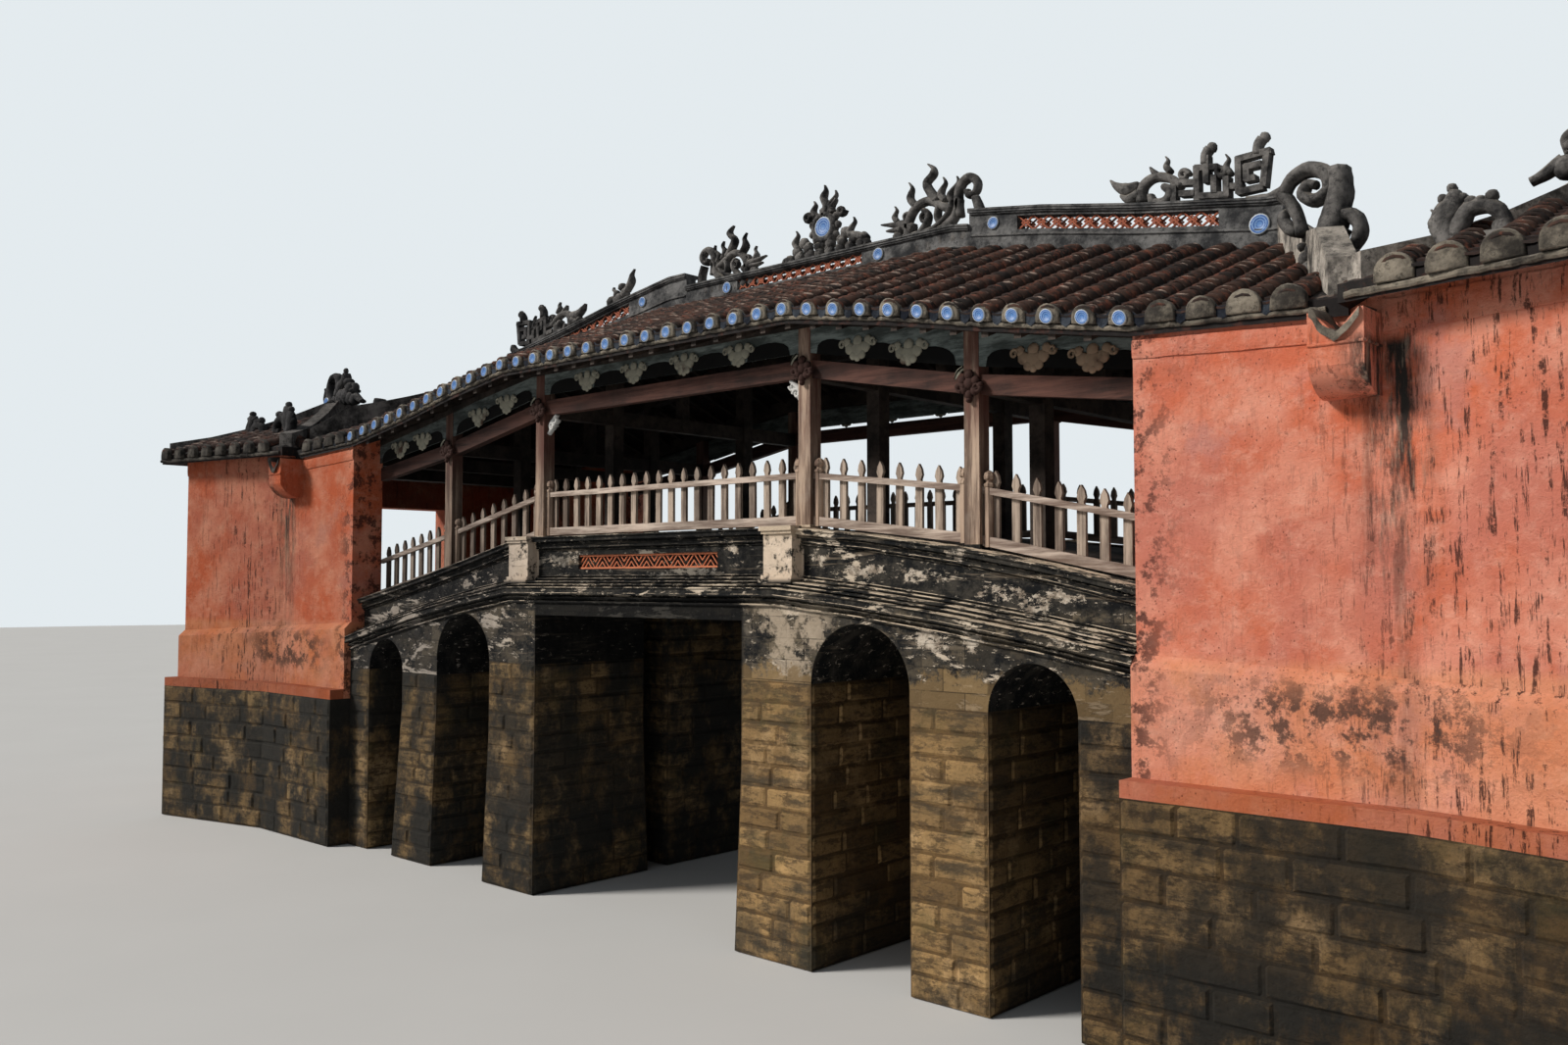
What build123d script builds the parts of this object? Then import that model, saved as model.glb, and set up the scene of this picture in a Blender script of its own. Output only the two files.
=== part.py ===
from build123d import *
import os
from math import atan, degrees

os.makedirs("parts", exist_ok=True)

# Covered bridge on stone piers, millimetres.
# X runs along the bridge, Y across it, Z up from the foot of the piers.

# Levels
street = 2000
panel_foot = 3630
cornice_foot = panel_foot - 210
cornice_nose = panel_foot - 160
cornice_back = panel_foot - 70
cope_foot = panel_foot + 400
cope_step = panel_foot + 460
ledge_top = panel_foot + 520

# Openings and piers from the middle of the bridge outward
middle_opening = 3400
main_pier_width = 920
side_arch_width = 1160
small_pier_width = 820
outer_arch_width = 850
nose_width = 510
main_pier_inner = middle_opening / 2
main_pier_outer = main_pier_inner + main_pier_width
small_pier_inner = main_pier_outer + side_arch_width
small_pier_outer = small_pier_inner + small_pier_width
outer_arch_end = small_pier_outer + outer_arch_width

# Places along the bridge, measured from its middle
center_post = main_pier_outer - 440
side_post = small_pier_outer - 420
wall_start = outer_arch_end + nose_width
splay_start = wall_start + 2040
wall_end = wall_start + 4240

# Fall of the ledge, the deck and the cornice from the middle to each end
right_ledge_falls = (235, 590)
left_ledge_falls = (430, 770)
right_cornice_falls = (220, 510)
left_cornice_falls = (320, 700)

# Places across the bridge, measured from its middle
outer_row = 2300
inner_row = 1200
ledge_inner = 2150
pier_inner = 1100
arcade_face = 2780
panel_face = 2580
cope_step_face = 2620
cope_face = 2680
cornice_step_face = 2810
cornice_face = 2870
middle_pier_half = 690

# Stonework
main_pier_spring = cornice_foot - 770
main_pier_batter = 90
main_pier_batter_top = 1800
small_pier_spring = cornice_foot - 900
small_pier_flare = 220
left_outer_crown_drop = 90
lintel_foot = cornice_foot - 190
lintel_bearing = 200
tie_beam_top = cornice_foot - 820
tie_beam_height = 130
tie_beam_width = 220
dado_center = center_post - 50
dado_width = 380
dado_face = 2720
lattice_half = 1150
lattice_foot = panel_foot + 135
lattice_height = 160
lattice_recess = 70
lattice_bar = 22
lattice_cells = 9
lattice_depth = 50

# Timber
deck_thickness = 80
girder_height = 200
girder_width = 180
girder_rows = (-1900, -1200, -400, 400, 1200, 1900)
post = 160
post_pad_rise = 30
inner_post = 170
eave_beam_foot = 5660
eave_beam_height = 180
eave_beam_width = 110
eave_beam_falls = (370, 600)
purlin_width = 150
purlin_height = 130
ridge_purlin_height = 160
tie_height = 180
tie_width = 130
tie_foot = 5640
tie_falls = (0, 330)
end_tie_foot = 5280
frieze_thickness = 30
frieze_gap = 70
rail_gap = 35
bottom_rail_height = 90
top_rail_top = 560
top_rail_height = 60
rail_face = outer_row + 35
top_rail_depth = 45
bottom_rail_depth = 80
picket_top = 720
picket_width = 84
picket_depth = 34
picket_pitch = 205

# Roof
eave = 2820
eave_foot = 6110
roof_thickness = 130
ridge_level = 7340
valley = wall_start + 1640
roof_breaks = (
    (center_post + 170, 0),
    (side_post - 640, 180),
    (side_post + 420, 380),
    (wall_start, 600),
    (valley, 670),
)
hip_start = valley - 1500
rib_width = 170
rib_height = 85
rib_bed = 20
rib_start = 130
rib_hip_gap = 200
middle_rib_pitch = 333
outer_rib_pitch = 324.5
middle_ribs = 15
hip_rib_start = 180
hip_rib_pitch = 320
gate_rib_pitch = 333
gate_rib_start = 400

# Ridge
ridge_width = 170
ridge_cap_width = 250
ridge_cap_height = 50
center_ridge_ends = (-2020, 2600)
center_ridge_height = 300
center_window_half = 1050
center_window_foot = 90
center_window_head = 220
side_ridge_height = 470
side_window_start = center_post + 1040
side_window_end = hip_start - 620
side_window_foot = 220
side_window_head = 370
end_block_end = hip_start
hip_ridge_width = 200
hip_ridge_start = 150
hip_ridge_height = 260
hip_ridge_end_gap = 194
hip_ridge_bed = 70
hip_dip = 1000
hip_dip_height = 260
hip_shoulder_gap = 744
hip_shoulder_height = 420
gate_hip_width = 180
gate_hip_bed = 60
gate_hip_start = 120
gate_hip_foot_height = 170
gate_hip_middle_height = 110
gate_hip_head_height = 260
gate_top_ridge_height = 220

# Ornaments
ornament_depth = 120
ornament_bar = 75
sun_place = 430
sun_base = 1100
sun_height = 400
sun_radius = 230
dragon_level = ridge_level + center_ridge_height - 20
left_dragon_snout = -580
right_dragon_snout = 1270
left_dragon_size = 0.86
fret_end = hip_start - 110
fret_start = fret_end - 1650
fret_height = 300
fret_base = 60
fret_cells = 4
scroll_share = 0.62
scroll_inset = 270
scroll_size = 0.85
scroll_rise = 178
gate_scroll_inset = 100

# End walls and gates
wall_thickness = 450
wall_splay = 530
plinth_projection = 100
plinth_heights = (1060, 860)
plinth_bevel = 90
curb_height = 130
curb_projection = 300
door_width = 2400
door_head = 4930
ramp_foot = 2150
gate_eave_foot = 5490
gate_overhang = 250
gate_ridge_level = 6350
gate_ridge_place = valley + 1460
gate_end = wall_end + gate_overhang
valley_beam_foot = 5240
valley_beam_height = 200
valley_beam_width = 300
spout_start = valley - 170
spout_end = valley + 200
spout_foot = 4870
spout_belly = 5060
spout_top = 5430
spout_projection = 350
gutter_width = 300
gutter_depth = 160

half_post = post / 2
roof_slope = (ridge_level - eave_foot - roof_thickness) / eave
deck_underside = -deck_thickness
beam_seat = -deck_thickness - girder_height
sides = (1, -1)
batter_angle = degrees(atan(main_pier_batter / 2 / main_pier_batter_top))
ledge_falls = {1: right_ledge_falls, -1: left_ledge_falls}
cornice_falls = {1: right_cornice_falls, -1: left_cornice_falls}


def between(breaks, x):
    """Fall at the distance x, straight from one break to the next."""
    previous = (0, 0)
    for here in breaks:
        if x <= here[0]:
            share = (x - previous[0]) / (here[0] - previous[0])
            return previous[1] + share * (here[1] - previous[1])
        previous = here
    return previous[1]


def deck_breaks(side):
    middle, end = ledge_falls[side]
    return ((center_post, 0), (side_post, middle), (wall_start, end))


def deck_level(side, x):
    return ledge_top - between(deck_breaks(side), x)


def underside(y):
    """Underside of the roof over the middle bay at the distance y from the ridge."""
    return eave_foot + roof_slope * (eave - abs(y))


def roof_fall(x):
    return between(roof_breaks, abs(x))


def bent(first, middle, last):
    """Points of a shallow curve through three places, each a distance and a level."""
    (x0, z0), (x1, z1), (x2, z2) = first, middle, last
    points = []
    for x in (x0, (x0 + x1) / 2, x1, (x1 + x2) / 2, x2):
        near = (x - x1) * (x - x2) / ((x0 - x1) * (x0 - x2))
        half_way = (x - x0) * (x - x2) / ((x1 - x0) * (x1 - x2))
        far = (x - x0) * (x - x1) / ((x2 - x0) * (x2 - x1))
        points.append((x, z0 * near + z1 * half_way + z2 * far))
    return points


def falling_line(side, level, falls):
    """Curved line of a stone course from the middle post to the end wall."""
    middle, end = falls[side]
    return bent(
        (side * center_post, level),
        (side * side_post, level - middle),
        (side * wall_start, level - end),
    )


def level_band(low, low_falls, high, high_falls):
    """Face of a stone course that is level in the middle bay and falls in a curve to each end."""
    top = falling_line(-1, high, high_falls)[::-1] + falling_line(1, high, high_falls)
    bottom = falling_line(1, low, low_falls)[::-1] + falling_line(-1, low, low_falls)
    with BuildSketch() as band:
        with BuildLine():
            Polyline(*top, *bottom, close=True)
        make_face()
    return band.sketch


def sloped_bar(side, start, end, low, high):
    """Outline of a bar along the deck, its ends plumb, from the deck line plus low to plus high."""
    places = [start] + [x for x, fall in deck_breaks(side) if start < x < end] + [end]
    top = [(side * x, deck_level(side, x) + high) for x in places]
    bottom = [(side * x, deck_level(side, x) + low) for x in reversed(places)]
    with BuildSketch() as bar:
        with BuildLine():
            Polyline(*top, *bottom, close=True)
        make_face()
    return bar.sketch


def roof_member(section, stations):
    """Member with one upright section that follows the roof from station to station."""
    with BuildPart() as member:
        for x in stations:
            with BuildSketch(Plane.YZ.offset(x)):
                with BuildLine():
                    Polyline(*[(y, z - roof_fall(x)) for y, z in section], close=True)
                make_face()
        loft(ruled=True)
    return member.part


half_stations = [x for x, fall in roof_breaks]
roof_stations = [-x for x in reversed(half_stations)] + half_stations


# Piers
with BuildPart() as main_piers:
    for side in sides:
        center_x = side * (main_pier_inner + main_pier_outer) / 2
        center_y = (arcade_face + pier_inner) / 2
        width = main_pier_outer - main_pier_inner
        depth = arcade_face - pier_inner
        with BuildSketch(Plane.XY):
            with Locations((center_x, -center_y)):
                Rectangle(width + main_pier_batter, depth + main_pier_batter)
        extrude(amount=main_pier_batter_top, taper=batter_angle)
        with BuildSketch(Plane.XY.offset(main_pier_batter_top)):
            with Locations((center_x, -center_y)):
                Rectangle(width, depth)
        extrude(amount=main_pier_spring - main_pier_batter_top)
    mirror(about=Plane.XZ)

with BuildPart() as small_piers:
    for side in sides:
        flare = small_pier_flare if side < 0 else 0
        spring = small_pier_spring - (left_outer_crown_drop if side < 0 else 0)
        with BuildSketch(Plane.XZ.offset(pier_inner)):
            with BuildLine():
                Polyline(
                    (side * (small_pier_inner + flare / 2), 0),
                    (side * (small_pier_outer + flare), 0),
                    (side * small_pier_outer, street),
                    (side * small_pier_outer, spring),
                    (side * small_pier_inner, spring),
                    (side * small_pier_inner, street),
                    close=True,
                )
            make_face()
        extrude(amount=arcade_face - pier_inner)
    mirror(about=Plane.XZ)

with BuildPart() as middle_piers:
    for side in sides:
        for inner, outer in ((main_pier_inner, main_pier_outer), (small_pier_inner, small_pier_outer)):
            places = [inner] + [x for x, fall in deck_breaks(side) if inner < x < outer] + [outer]
            top = [(side * x, deck_level(side, x) + beam_seat) for x in places]
            with BuildSketch(Plane.XZ.offset(-middle_pier_half)):
                with BuildLine():
                    Polyline(*top, (side * outer, 0), (side * inner, 0), close=True)
                make_face()
            extrude(amount=2 * middle_pier_half)

with BuildPart() as middle_tie_beam:
    with BuildSketch(Plane.XY.offset(tie_beam_top - tie_beam_height)):
        Rectangle(2 * main_pier_inner, tie_beam_width)
    extrude(amount=tie_beam_height)


def shape(*points):
    """Closed face through straight edges."""
    with BuildSketch() as face:
        with BuildLine():
            Polyline(*points, close=True)
        make_face()
    return face.sketch


# Arch masonry: the front zone carries the parapet, the inner zone carries the girders
def arch_block(side):
    inner_radius = (small_pier_inner - main_pier_outer) / 2
    outer_radius = (outer_arch_end - small_pier_outer) / 2
    low_spring = small_pier_spring - (left_outer_crown_drop if side < 0 else 0)
    inner_center = side * (main_pier_outer + inner_radius)
    outer_center = side * (small_pier_outer + outer_radius)
    with BuildPart() as block:
        with BuildSketch(Plane.XZ.offset(ledge_inner)):
            with BuildLine():
                Polyline(
                    (side * wall_start, low_spring),
                    (side * main_pier_outer, low_spring),
                    (side * main_pier_outer, main_pier_spring),
                    (side * main_pier_inner, main_pier_spring),
                    (side * main_pier_inner, lintel_foot),
                    (side * (main_pier_inner + lintel_bearing), lintel_foot),
                    (side * (main_pier_inner + lintel_bearing), cornice_foot),
                    *falling_line(side, cornice_foot, cornice_falls),
                    close=True,
                )
            make_face()
        extrude(amount=arcade_face - ledge_inner)
        places = [main_pier_inner] + [x for x, fall in deck_breaks(side)]
        with BuildSketch(Plane.XZ.offset(pier_inner)):
            with BuildLine():
                Polyline(
                    *[(side * x, deck_level(side, x) + beam_seat) for x in places],
                    (side * wall_start, low_spring),
                    (side * main_pier_outer, low_spring),
                    (side * main_pier_outer, main_pier_spring),
                    (side * main_pier_inner, main_pier_spring),
                    close=True,
                )
            make_face()
        extrude(amount=ledge_inner - pier_inner)
        with BuildSketch(Plane.XZ.offset(pier_inner)):
            with Locations((inner_center, main_pier_spring), (outer_center, low_spring)):
                Circle(outer_radius)
            with Locations((inner_center, main_pier_spring)):
                Circle(inner_radius)
            with Locations((inner_center, (low_spring + main_pier_spring) / 2)):
                Rectangle(2 * inner_radius, main_pier_spring - low_spring)
        extrude(amount=arcade_face - pier_inner, mode=Mode.SUBTRACT)
        mirror(about=Plane.XZ)
    return block.part


with BuildPart() as right_arches:
    add(arch_block(1))

with BuildPart() as left_arches:
    add(arch_block(-1))

with BuildPart() as lintels:
    with BuildSketch(Plane.XZ.offset(ledge_inner)):
        with Locations((0, (lintel_foot + cornice_foot) / 2)):
            Rectangle(2 * (main_pier_inner + lintel_bearing), cornice_foot - lintel_foot)
    extrude(amount=arcade_face - ledge_inner)
    mirror(about=Plane.XZ)


# Abutments: solid masonry under the gates, with a narrower nose beside the outer arch
def wall_line(x):
    """Outer face of the end walls, straight and then splayed."""
    return arcade_face + wall_splay * max(0, x - splay_start) / (wall_end - splay_start)


def both_walls(side, start, end, outward):
    """Plan between the two long faces of a gate house, both moved outward."""
    places = [start] + [splay_start] * (start < splay_start < end) + [end]
    front = [(side * x, -wall_line(x) - outward) for x in places]
    return shape(*front, *[(x, -y) for x, y in reversed(front)])


def wall_strip(side, start, inward, outward):
    """Plan of a strip along the front wall, from inside its outer face to outside it."""
    places = [start, splay_start, wall_end]
    far = [(side * x, -wall_line(x) - outward) for x in places]
    near = [(side * x, -wall_line(x) + inward) for x in reversed(places)]
    return shape(*far, *near)


def abutment(side):
    low_spring = small_pier_spring - (left_outer_crown_drop if side < 0 else 0)
    nose = wall_start - outer_arch_end
    with BuildPart() as masonry:
        with BuildSketch(Plane.XY):
            add(both_walls(side, wall_start, wall_end, curb_projection))
        extrude(amount=street)
        with BuildSketch(Plane.XY):
            with Locations((side * (outer_arch_end + nose / 2), 0)):
                Rectangle(nose, 2 * arcade_face)
        extrude(amount=low_spring)
        with BuildSketch(Plane.XZ.offset(-pier_inner)):
            add(
                shape(
                    (side * outer_arch_end, deck_level(side, outer_arch_end) + beam_seat),
                    (side * wall_start, deck_level(side, wall_start) + beam_seat),
                    (side * wall_start, low_spring),
                    (side * outer_arch_end, low_spring),
                )
            )
        extrude(amount=2 * pier_inner)
    return masonry.part


with BuildPart() as right_abutment:
    add(abutment(1))

with BuildPart() as left_abutment:
    add(abutment(-1))

# Parapets: cornice, panel and ledge over the arcade, with dado blocks and a slot for the lattice
with BuildPart() as parapets:
    courses = (
        (cornice_foot, cornice_falls, cornice_nose, cornice_falls, cornice_step_face),
        (cornice_nose, cornice_falls, cornice_back, cornice_falls, cornice_face),
        (cornice_back, cornice_falls, panel_foot, cornice_falls, cope_face),
        (panel_foot, cornice_falls, cope_foot, ledge_falls, panel_face),
        (cope_foot, ledge_falls, cope_step, ledge_falls, cope_step_face),
        (cope_step, ledge_falls, ledge_top, ledge_falls, cope_face),
    )
    for low, low_falls, high, high_falls, face in courses:
        with BuildSketch(Plane.XZ.offset(ledge_inner)):
            add(level_band(low, low_falls, high, high_falls))
        extrude(amount=face - ledge_inner)
    for side in sides:
        with BuildSketch(Plane.XZ.offset(ledge_inner)):
            with Locations((side * dado_center, (cornice_back + ledge_top) / 2)):
                Rectangle(dado_width, ledge_top - cornice_back)
        extrude(amount=dado_face - ledge_inner)
        for x in (center_post, side_post):
            pad_top = deck_level(side, x) + post_pad_rise
            with BuildSketch(Plane.XZ.offset(outer_row - half_post)):
                with Locations((side * x, pad_top - half_post)):
                    Rectangle(post, post)
            extrude(amount=post)
    with BuildSketch(Plane.XZ.offset(panel_face - lattice_recess)):
        with Locations((0, lattice_foot + lattice_height / 2)):
            Rectangle(2 * lattice_half, lattice_height)
    extrude(amount=lattice_recess, mode=Mode.SUBTRACT)
    mirror(about=Plane.XZ)


# Terracotta lattices: a frame filled with crossing diagonals
def lattice(left, right, foot, head, cells, fall):
    """Openwork panel from left to right whose foot and head fall with the distance from left."""
    cell = (right - left) / cells
    bar = lattice_bar / 2

    def at(x, z):
        return (x, z - fall * (x - left))

    with BuildSketch() as panel:
        add(shape(at(left, foot), at(right, foot), at(right, head), at(left, head)))
        inner_left, inner_right = left + lattice_bar, right - lattice_bar
        inner_foot, inner_head = foot + lattice_bar, head - lattice_bar
        with BuildSketch(mode=Mode.PRIVATE) as window:
            add(
                shape(
                    at(inner_left, inner_foot),
                    at(inner_right, inner_foot),
                    at(inner_right, inner_head),
                    at(inner_left, inner_head),
                )
            )
            for index in range(cells):
                start = left + index * cell
                for low, high in ((foot, head), (head, foot)):
                    add(
                        shape(
                            at(start - bar, low),
                            at(start + bar, low),
                            at(start + cell + bar, high),
                            at(start + cell - bar, high),
                        ),
                        mode=Mode.SUBTRACT,
                    )
        add(window.sketch, mode=Mode.SUBTRACT)
    return panel.sketch


with BuildPart() as parapet_lattices:
    with BuildSketch(Plane.XZ.offset(panel_face - lattice_recess)):
        head = lattice_foot + lattice_height
        add(lattice(-lattice_half, lattice_half, lattice_foot, head, lattice_cells, 0))
    extrude(amount=lattice_depth)
    mirror(about=Plane.XZ)

# Floor: girders from pier to pier, planks across them
with BuildPart() as center_girders:
    with BuildSketch(Plane.XY.offset(ledge_top + beam_seat)):
        with Locations(*[(0, y) for y in girder_rows]):
            Rectangle(2 * center_post, girder_width)
    extrude(amount=girder_height)

with BuildPart() as side_girders:
    for side in sides:
        for y in girder_rows:
            with BuildSketch(Plane.XZ.offset(-y - girder_width / 2)):
                add(sloped_bar(side, center_post, wall_start, beam_seat, deck_underside))
            extrude(amount=girder_width)

with BuildPart() as center_deck:
    with BuildSketch(Plane.XY.offset(ledge_top + deck_underside)):
        Rectangle(2 * center_post, 2 * ledge_inner)
    extrude(amount=deck_thickness)

with BuildPart() as side_decks:
    for side in sides:
        with BuildSketch(Plane.XZ.offset(-ledge_inner)):
            add(sloped_bar(side, center_post, wall_start, deck_underside, 0))
        extrude(amount=2 * ledge_inner)

# Posts, cut below to the deck or the pad and above to the purlin they carry
with BuildPart() as outer_posts:
    head = underside(outer_row + purlin_width / 2) - purlin_height
    for side in sides:
        for x in (center_post, side_post):
            foot = deck_level(side, x) + post_pad_rise
            near, far = x - half_post, x + half_post
            with BuildSketch(Plane.XZ.offset(outer_row - half_post)):
                add(
                    shape(
                        (side * near, foot),
                        (side * far, foot),
                        (side * far, head - roof_fall(far)),
                        (side * near, head - roof_fall(near)),
                    )
                )
            extrude(amount=post)
    mirror(about=Plane.XZ)

with BuildPart() as inner_posts:
    head = underside(inner_row + purlin_width / 2) - purlin_height
    for side in sides:
        for x in (center_post, side_post):
            near, far = x - inner_post / 2, x + inner_post / 2
            with BuildSketch(Plane.XZ.offset(inner_row - inner_post / 2)):
                add(
                    shape(
                        (side * near, deck_level(side, near)),
                        (side * x, deck_level(side, x)),
                        (side * far, deck_level(side, far)),
                        (side * far, head - roof_fall(far)),
                        (side * near, head - roof_fall(near)),
                    )
                )
            extrude(amount=inner_post)
    mirror(about=Plane.XZ)


# Beams between the outer posts, one to a bay
def beam_level(x):
    near, far = eave_beam_falls
    return eave_beam_foot - between(((center_post, 0), (side_post, near), (wall_start, far)), abs(x))


def bays():
    """Start, end and side of each bay, measured between the faces of the posts."""
    yield -center_post + half_post, center_post - half_post, 1
    for side in sides:
        yield side * (center_post + half_post), side * (side_post - half_post), side
        yield side * (side_post + half_post), side * wall_start, side


with BuildPart() as eave_beams:
    for start, end, side in bays():
        with BuildSketch(Plane.XZ.offset(outer_row - eave_beam_width / 2)):
            add(
                shape(
                    (start, beam_level(start)),
                    (end, beam_level(end)),
                    (end, beam_level(end) + eave_beam_height),
                    (start, beam_level(start) + eave_beam_height),
                )
            )
        extrude(amount=eave_beam_width)
    mirror(about=Plane.XZ)

# Tie beams across the hall at each pair of posts and over the start of the end walls
with BuildPart() as tie_beams:
    gap_start = inner_row + inner_post / 2
    gap_end = outer_row - half_post
    for side in sides:
        for x, fall in zip((center_post, side_post), tie_falls):
            with BuildSketch(Plane.XY.offset(tie_foot - fall)):
                with Locations((side * x, 0)):
                    Rectangle(tie_width, 2 * inner_row - inner_post)
                with Locations(
                    (side * x, (gap_start + gap_end) / 2),
                    (side * x, -(gap_start + gap_end) / 2),
                ):
                    Rectangle(tie_width, gap_end - gap_start)
            extrude(amount=tie_height)
        with BuildSketch(Plane.XY.offset(end_tie_foot)):
            with Locations((side * (wall_start + tie_width / 2), 0)):
                Rectangle(tie_width, 2 * (arcade_face - wall_thickness))
        extrude(amount=tie_height)

with BuildPart() as king_posts:
    ridge_head = ridge_level - roof_thickness - ridge_purlin_height
    purlin_head = underside(inner_row + purlin_width / 2) - purlin_height
    feet = [(center_post, tie_foot, (0,)), (side_post, tie_foot - tie_falls[1], (0,))]
    feet.append((wall_start + tie_width / 2, end_tie_foot, (-inner_row, 0, inner_row)))
    for side in sides:
        for x, foot, rows in feet:
            near, far = x - tie_width / 2, x + tie_width / 2
            for row in rows:
                head = purlin_head if row else ridge_head
                with BuildSketch(Plane.XZ.offset(row - tie_width / 2)):
                    add(
                        shape(
                            (side * near, foot + tie_height),
                            (side * far, foot + tie_height),
                            (side * far, head - roof_fall(far)),
                            (side * near, head - roof_fall(near)),
                        )
                    )
                extrude(amount=tie_width)


def purlin_section(row):
    """Section of a purlin whose top is cut to the slope of the roof."""
    outer = row + purlin_width / 2
    inner = row - purlin_width / 2
    foot = underside(outer) - purlin_height
    return ((-outer, foot), (-inner, foot), (-inner, underside(inner)), (-outer, underside(outer)))


hall_stations = [x for x in roof_stations if abs(x) <= wall_start]
purlin_end = wall_start + tie_width
purlin_stations = [-purlin_end] + hall_stations + [purlin_end]

with BuildPart() as wall_plates:
    add(roof_member(purlin_section(outer_row), hall_stations))
    mirror(about=Plane.XZ)

with BuildPart() as inner_purlins:
    add(roof_member(purlin_section(inner_row), purlin_stations))
    mirror(about=Plane.XZ)

with BuildPart() as ridge_purlin:
    half = purlin_width / 2
    foot = ridge_level - roof_thickness - ridge_purlin_height
    edge = underside(half)
    section = ((-half, foot), (half, foot), (half, edge), (0, underside(0)), (-half, edge))
    add(roof_member(section, purlin_stations))

# Friezes: thin boards hung from the wall plates over a gap above each beam
with BuildPart() as friezes:
    board_top = underside(outer_row + purlin_width / 2) - purlin_height
    for start, end, side in bays():
        breaks = [x for x in roof_stations if min(start, end) < x < max(start, end)]
        high = [(x, board_top - roof_fall(x)) for x in sorted([start, end] + breaks)]
        ends = sorted((start, end), reverse=True)
        low = [(x, beam_level(x) + eave_beam_height + frieze_gap) for x in ends]
        with BuildSketch(Plane.XZ.offset(outer_row + purlin_width / 2 - frieze_thickness)):
            add(shape(*high, *low))
        extrude(amount=frieze_thickness)
    mirror(about=Plane.XZ)


# Railings: two rails in each bay, and pickets that stand on the lower one behind the upper one
def rail(start, end, side, low, high, depth):
    with BuildPart() as bar:
        with BuildSketch(Plane.XZ.offset(rail_face - depth)):
            first, last = deck_level(side, abs(start)), deck_level(side, abs(end))
            add(shape((start, first + low), (end, last + low), (end, last + high), (start, first + high)))
        extrude(amount=depth)
    return bar.part


def picket(x, side):
    """Picket with its spear head above the upper rail and its foot cut to the lower one."""
    left, right = x - picket_width / 2, x + picket_width / 2
    seat = rail_gap + bottom_rail_height
    head = deck_level(side, abs(x))
    return shape(
        (left, deck_level(side, abs(left)) + seat),
        (left, head + top_rail_top),
        (x, head + picket_top),
        (right, head + top_rail_top),
        (right, deck_level(side, abs(right)) + seat),
    )


with BuildPart() as front_railings:
    for start, end, side in bays():
        add(rail(start, end, side, rail_gap, rail_gap + bottom_rail_height, bottom_rail_depth))
        add(rail(start, end, side, top_rail_top - top_rail_height, top_rail_top, top_rail_depth))

with BuildPart() as back_railings:
    mirror(front_railings.part, about=Plane.XZ)

with BuildPart() as front_pickets:
    with BuildSketch(Plane.XZ.offset(rail_face - top_rail_depth - picket_depth)):
        for start, end, side in bays():
            run = abs(end - start)
            count = int(run / picket_pitch)
            for index in range(count):
                add(picket(min(start, end) + (index + 0.5) * run / count, side))
    extrude(amount=picket_depth)

with BuildPart() as back_pickets:
    mirror(front_pickets.part, about=Plane.XZ)


# Roof slopes: one section carried along the falling eave line, cut by the hips at both ends
hip_length = valley - hip_start
hip_top = ridge_level - roof_fall(hip_start)
hip_foot = eave_foot + roof_thickness - roof_fall(valley)
hip_slope = (hip_top - hip_foot) / hip_length


def hip_half_space(side, lower):
    """Everything above the hip slope, lowered by the given amount."""
    beyond = ridge_cap_width
    high = hip_top + beyond * hip_slope
    with BuildPart() as space:
        with BuildSketch(Plane.XZ.offset(-2 * eave)):
            add(
                shape(
                    (side * (hip_start - beyond), high - lower),
                    (side * valley, hip_foot - lower),
                    (side * valley, high),
                )
            )
        extrude(amount=4 * eave)
    return space.part


slope_section = (
    (0, ridge_level),
    (-eave, eave_foot + roof_thickness),
    (-eave, eave_foot),
    (0, ridge_level - roof_thickness),
)
under_section = ((0, underside(0)), (eave, underside(eave)), (eave, street))
under_section += tuple((-y, z) for y, z in reversed(under_section[1:]))


# Tile columns are three-sided ribs down the slopes, sunk a little into the boards
def rib(head, foot, along):
    """Rib from head to foot down a slope; along is the level line across it."""
    head, foot, along = Vector(*head), Vector(*foot), Vector(*along)
    down = foot - head
    half = rib_width / 2
    rise = 1 if down.cross(along).Z > 0 else -1
    with BuildPart() as column:
        with BuildSketch(Plane(origin=head, x_dir=along, z_dir=down)):
            add(shape((-half, -rise * rib_bed), (half, -rise * rib_bed), (0, rise * rib_height)))
        extrude(amount=down.length)
    return column.part


def rib_places():
    """Places of the tile columns from the middle out to the valley."""
    middle_half = middle_rib_pitch * (middle_ribs - 1) / 2
    places = [middle_half - index * middle_rib_pitch for index in range(middle_ribs)]
    count = int((valley - rib_hip_gap - rib_width - middle_half) / outer_rib_pitch)
    for index in range(1, count + 1):
        x = middle_half + index * outer_rib_pitch
        places += [x, -x]
    return places


def hall_rib(x):
    head = max(rib_start, (abs(x) + rib_hip_gap - hip_start) / hip_length * eave)
    level = ridge_level - roof_fall(x)
    return rib((x, -head, level - roof_slope * head), (x, -eave, level - roof_slope * eave), (1, 0, 0))


def hip_rib(side, y):
    start = hip_rib_start + hip_length * (abs(y) + rib_width / 2) / eave
    end = hip_length - rib_height
    head = (side * (hip_start + start), y, hip_top - hip_slope * start)
    return rib(head, (side * (hip_start + end), y, hip_top - hip_slope * end), (0, 1, 0))


with BuildPart() as front_roof_slope:
    add(roof_member(slope_section, roof_stations))
    add([hall_rib(x) for x in rib_places()])
    for side in sides:
        add(hip_half_space(side, 0), mode=Mode.SUBTRACT)

with BuildPart() as back_roof_slope:
    mirror(front_roof_slope.part, about=Plane.XZ)

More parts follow.
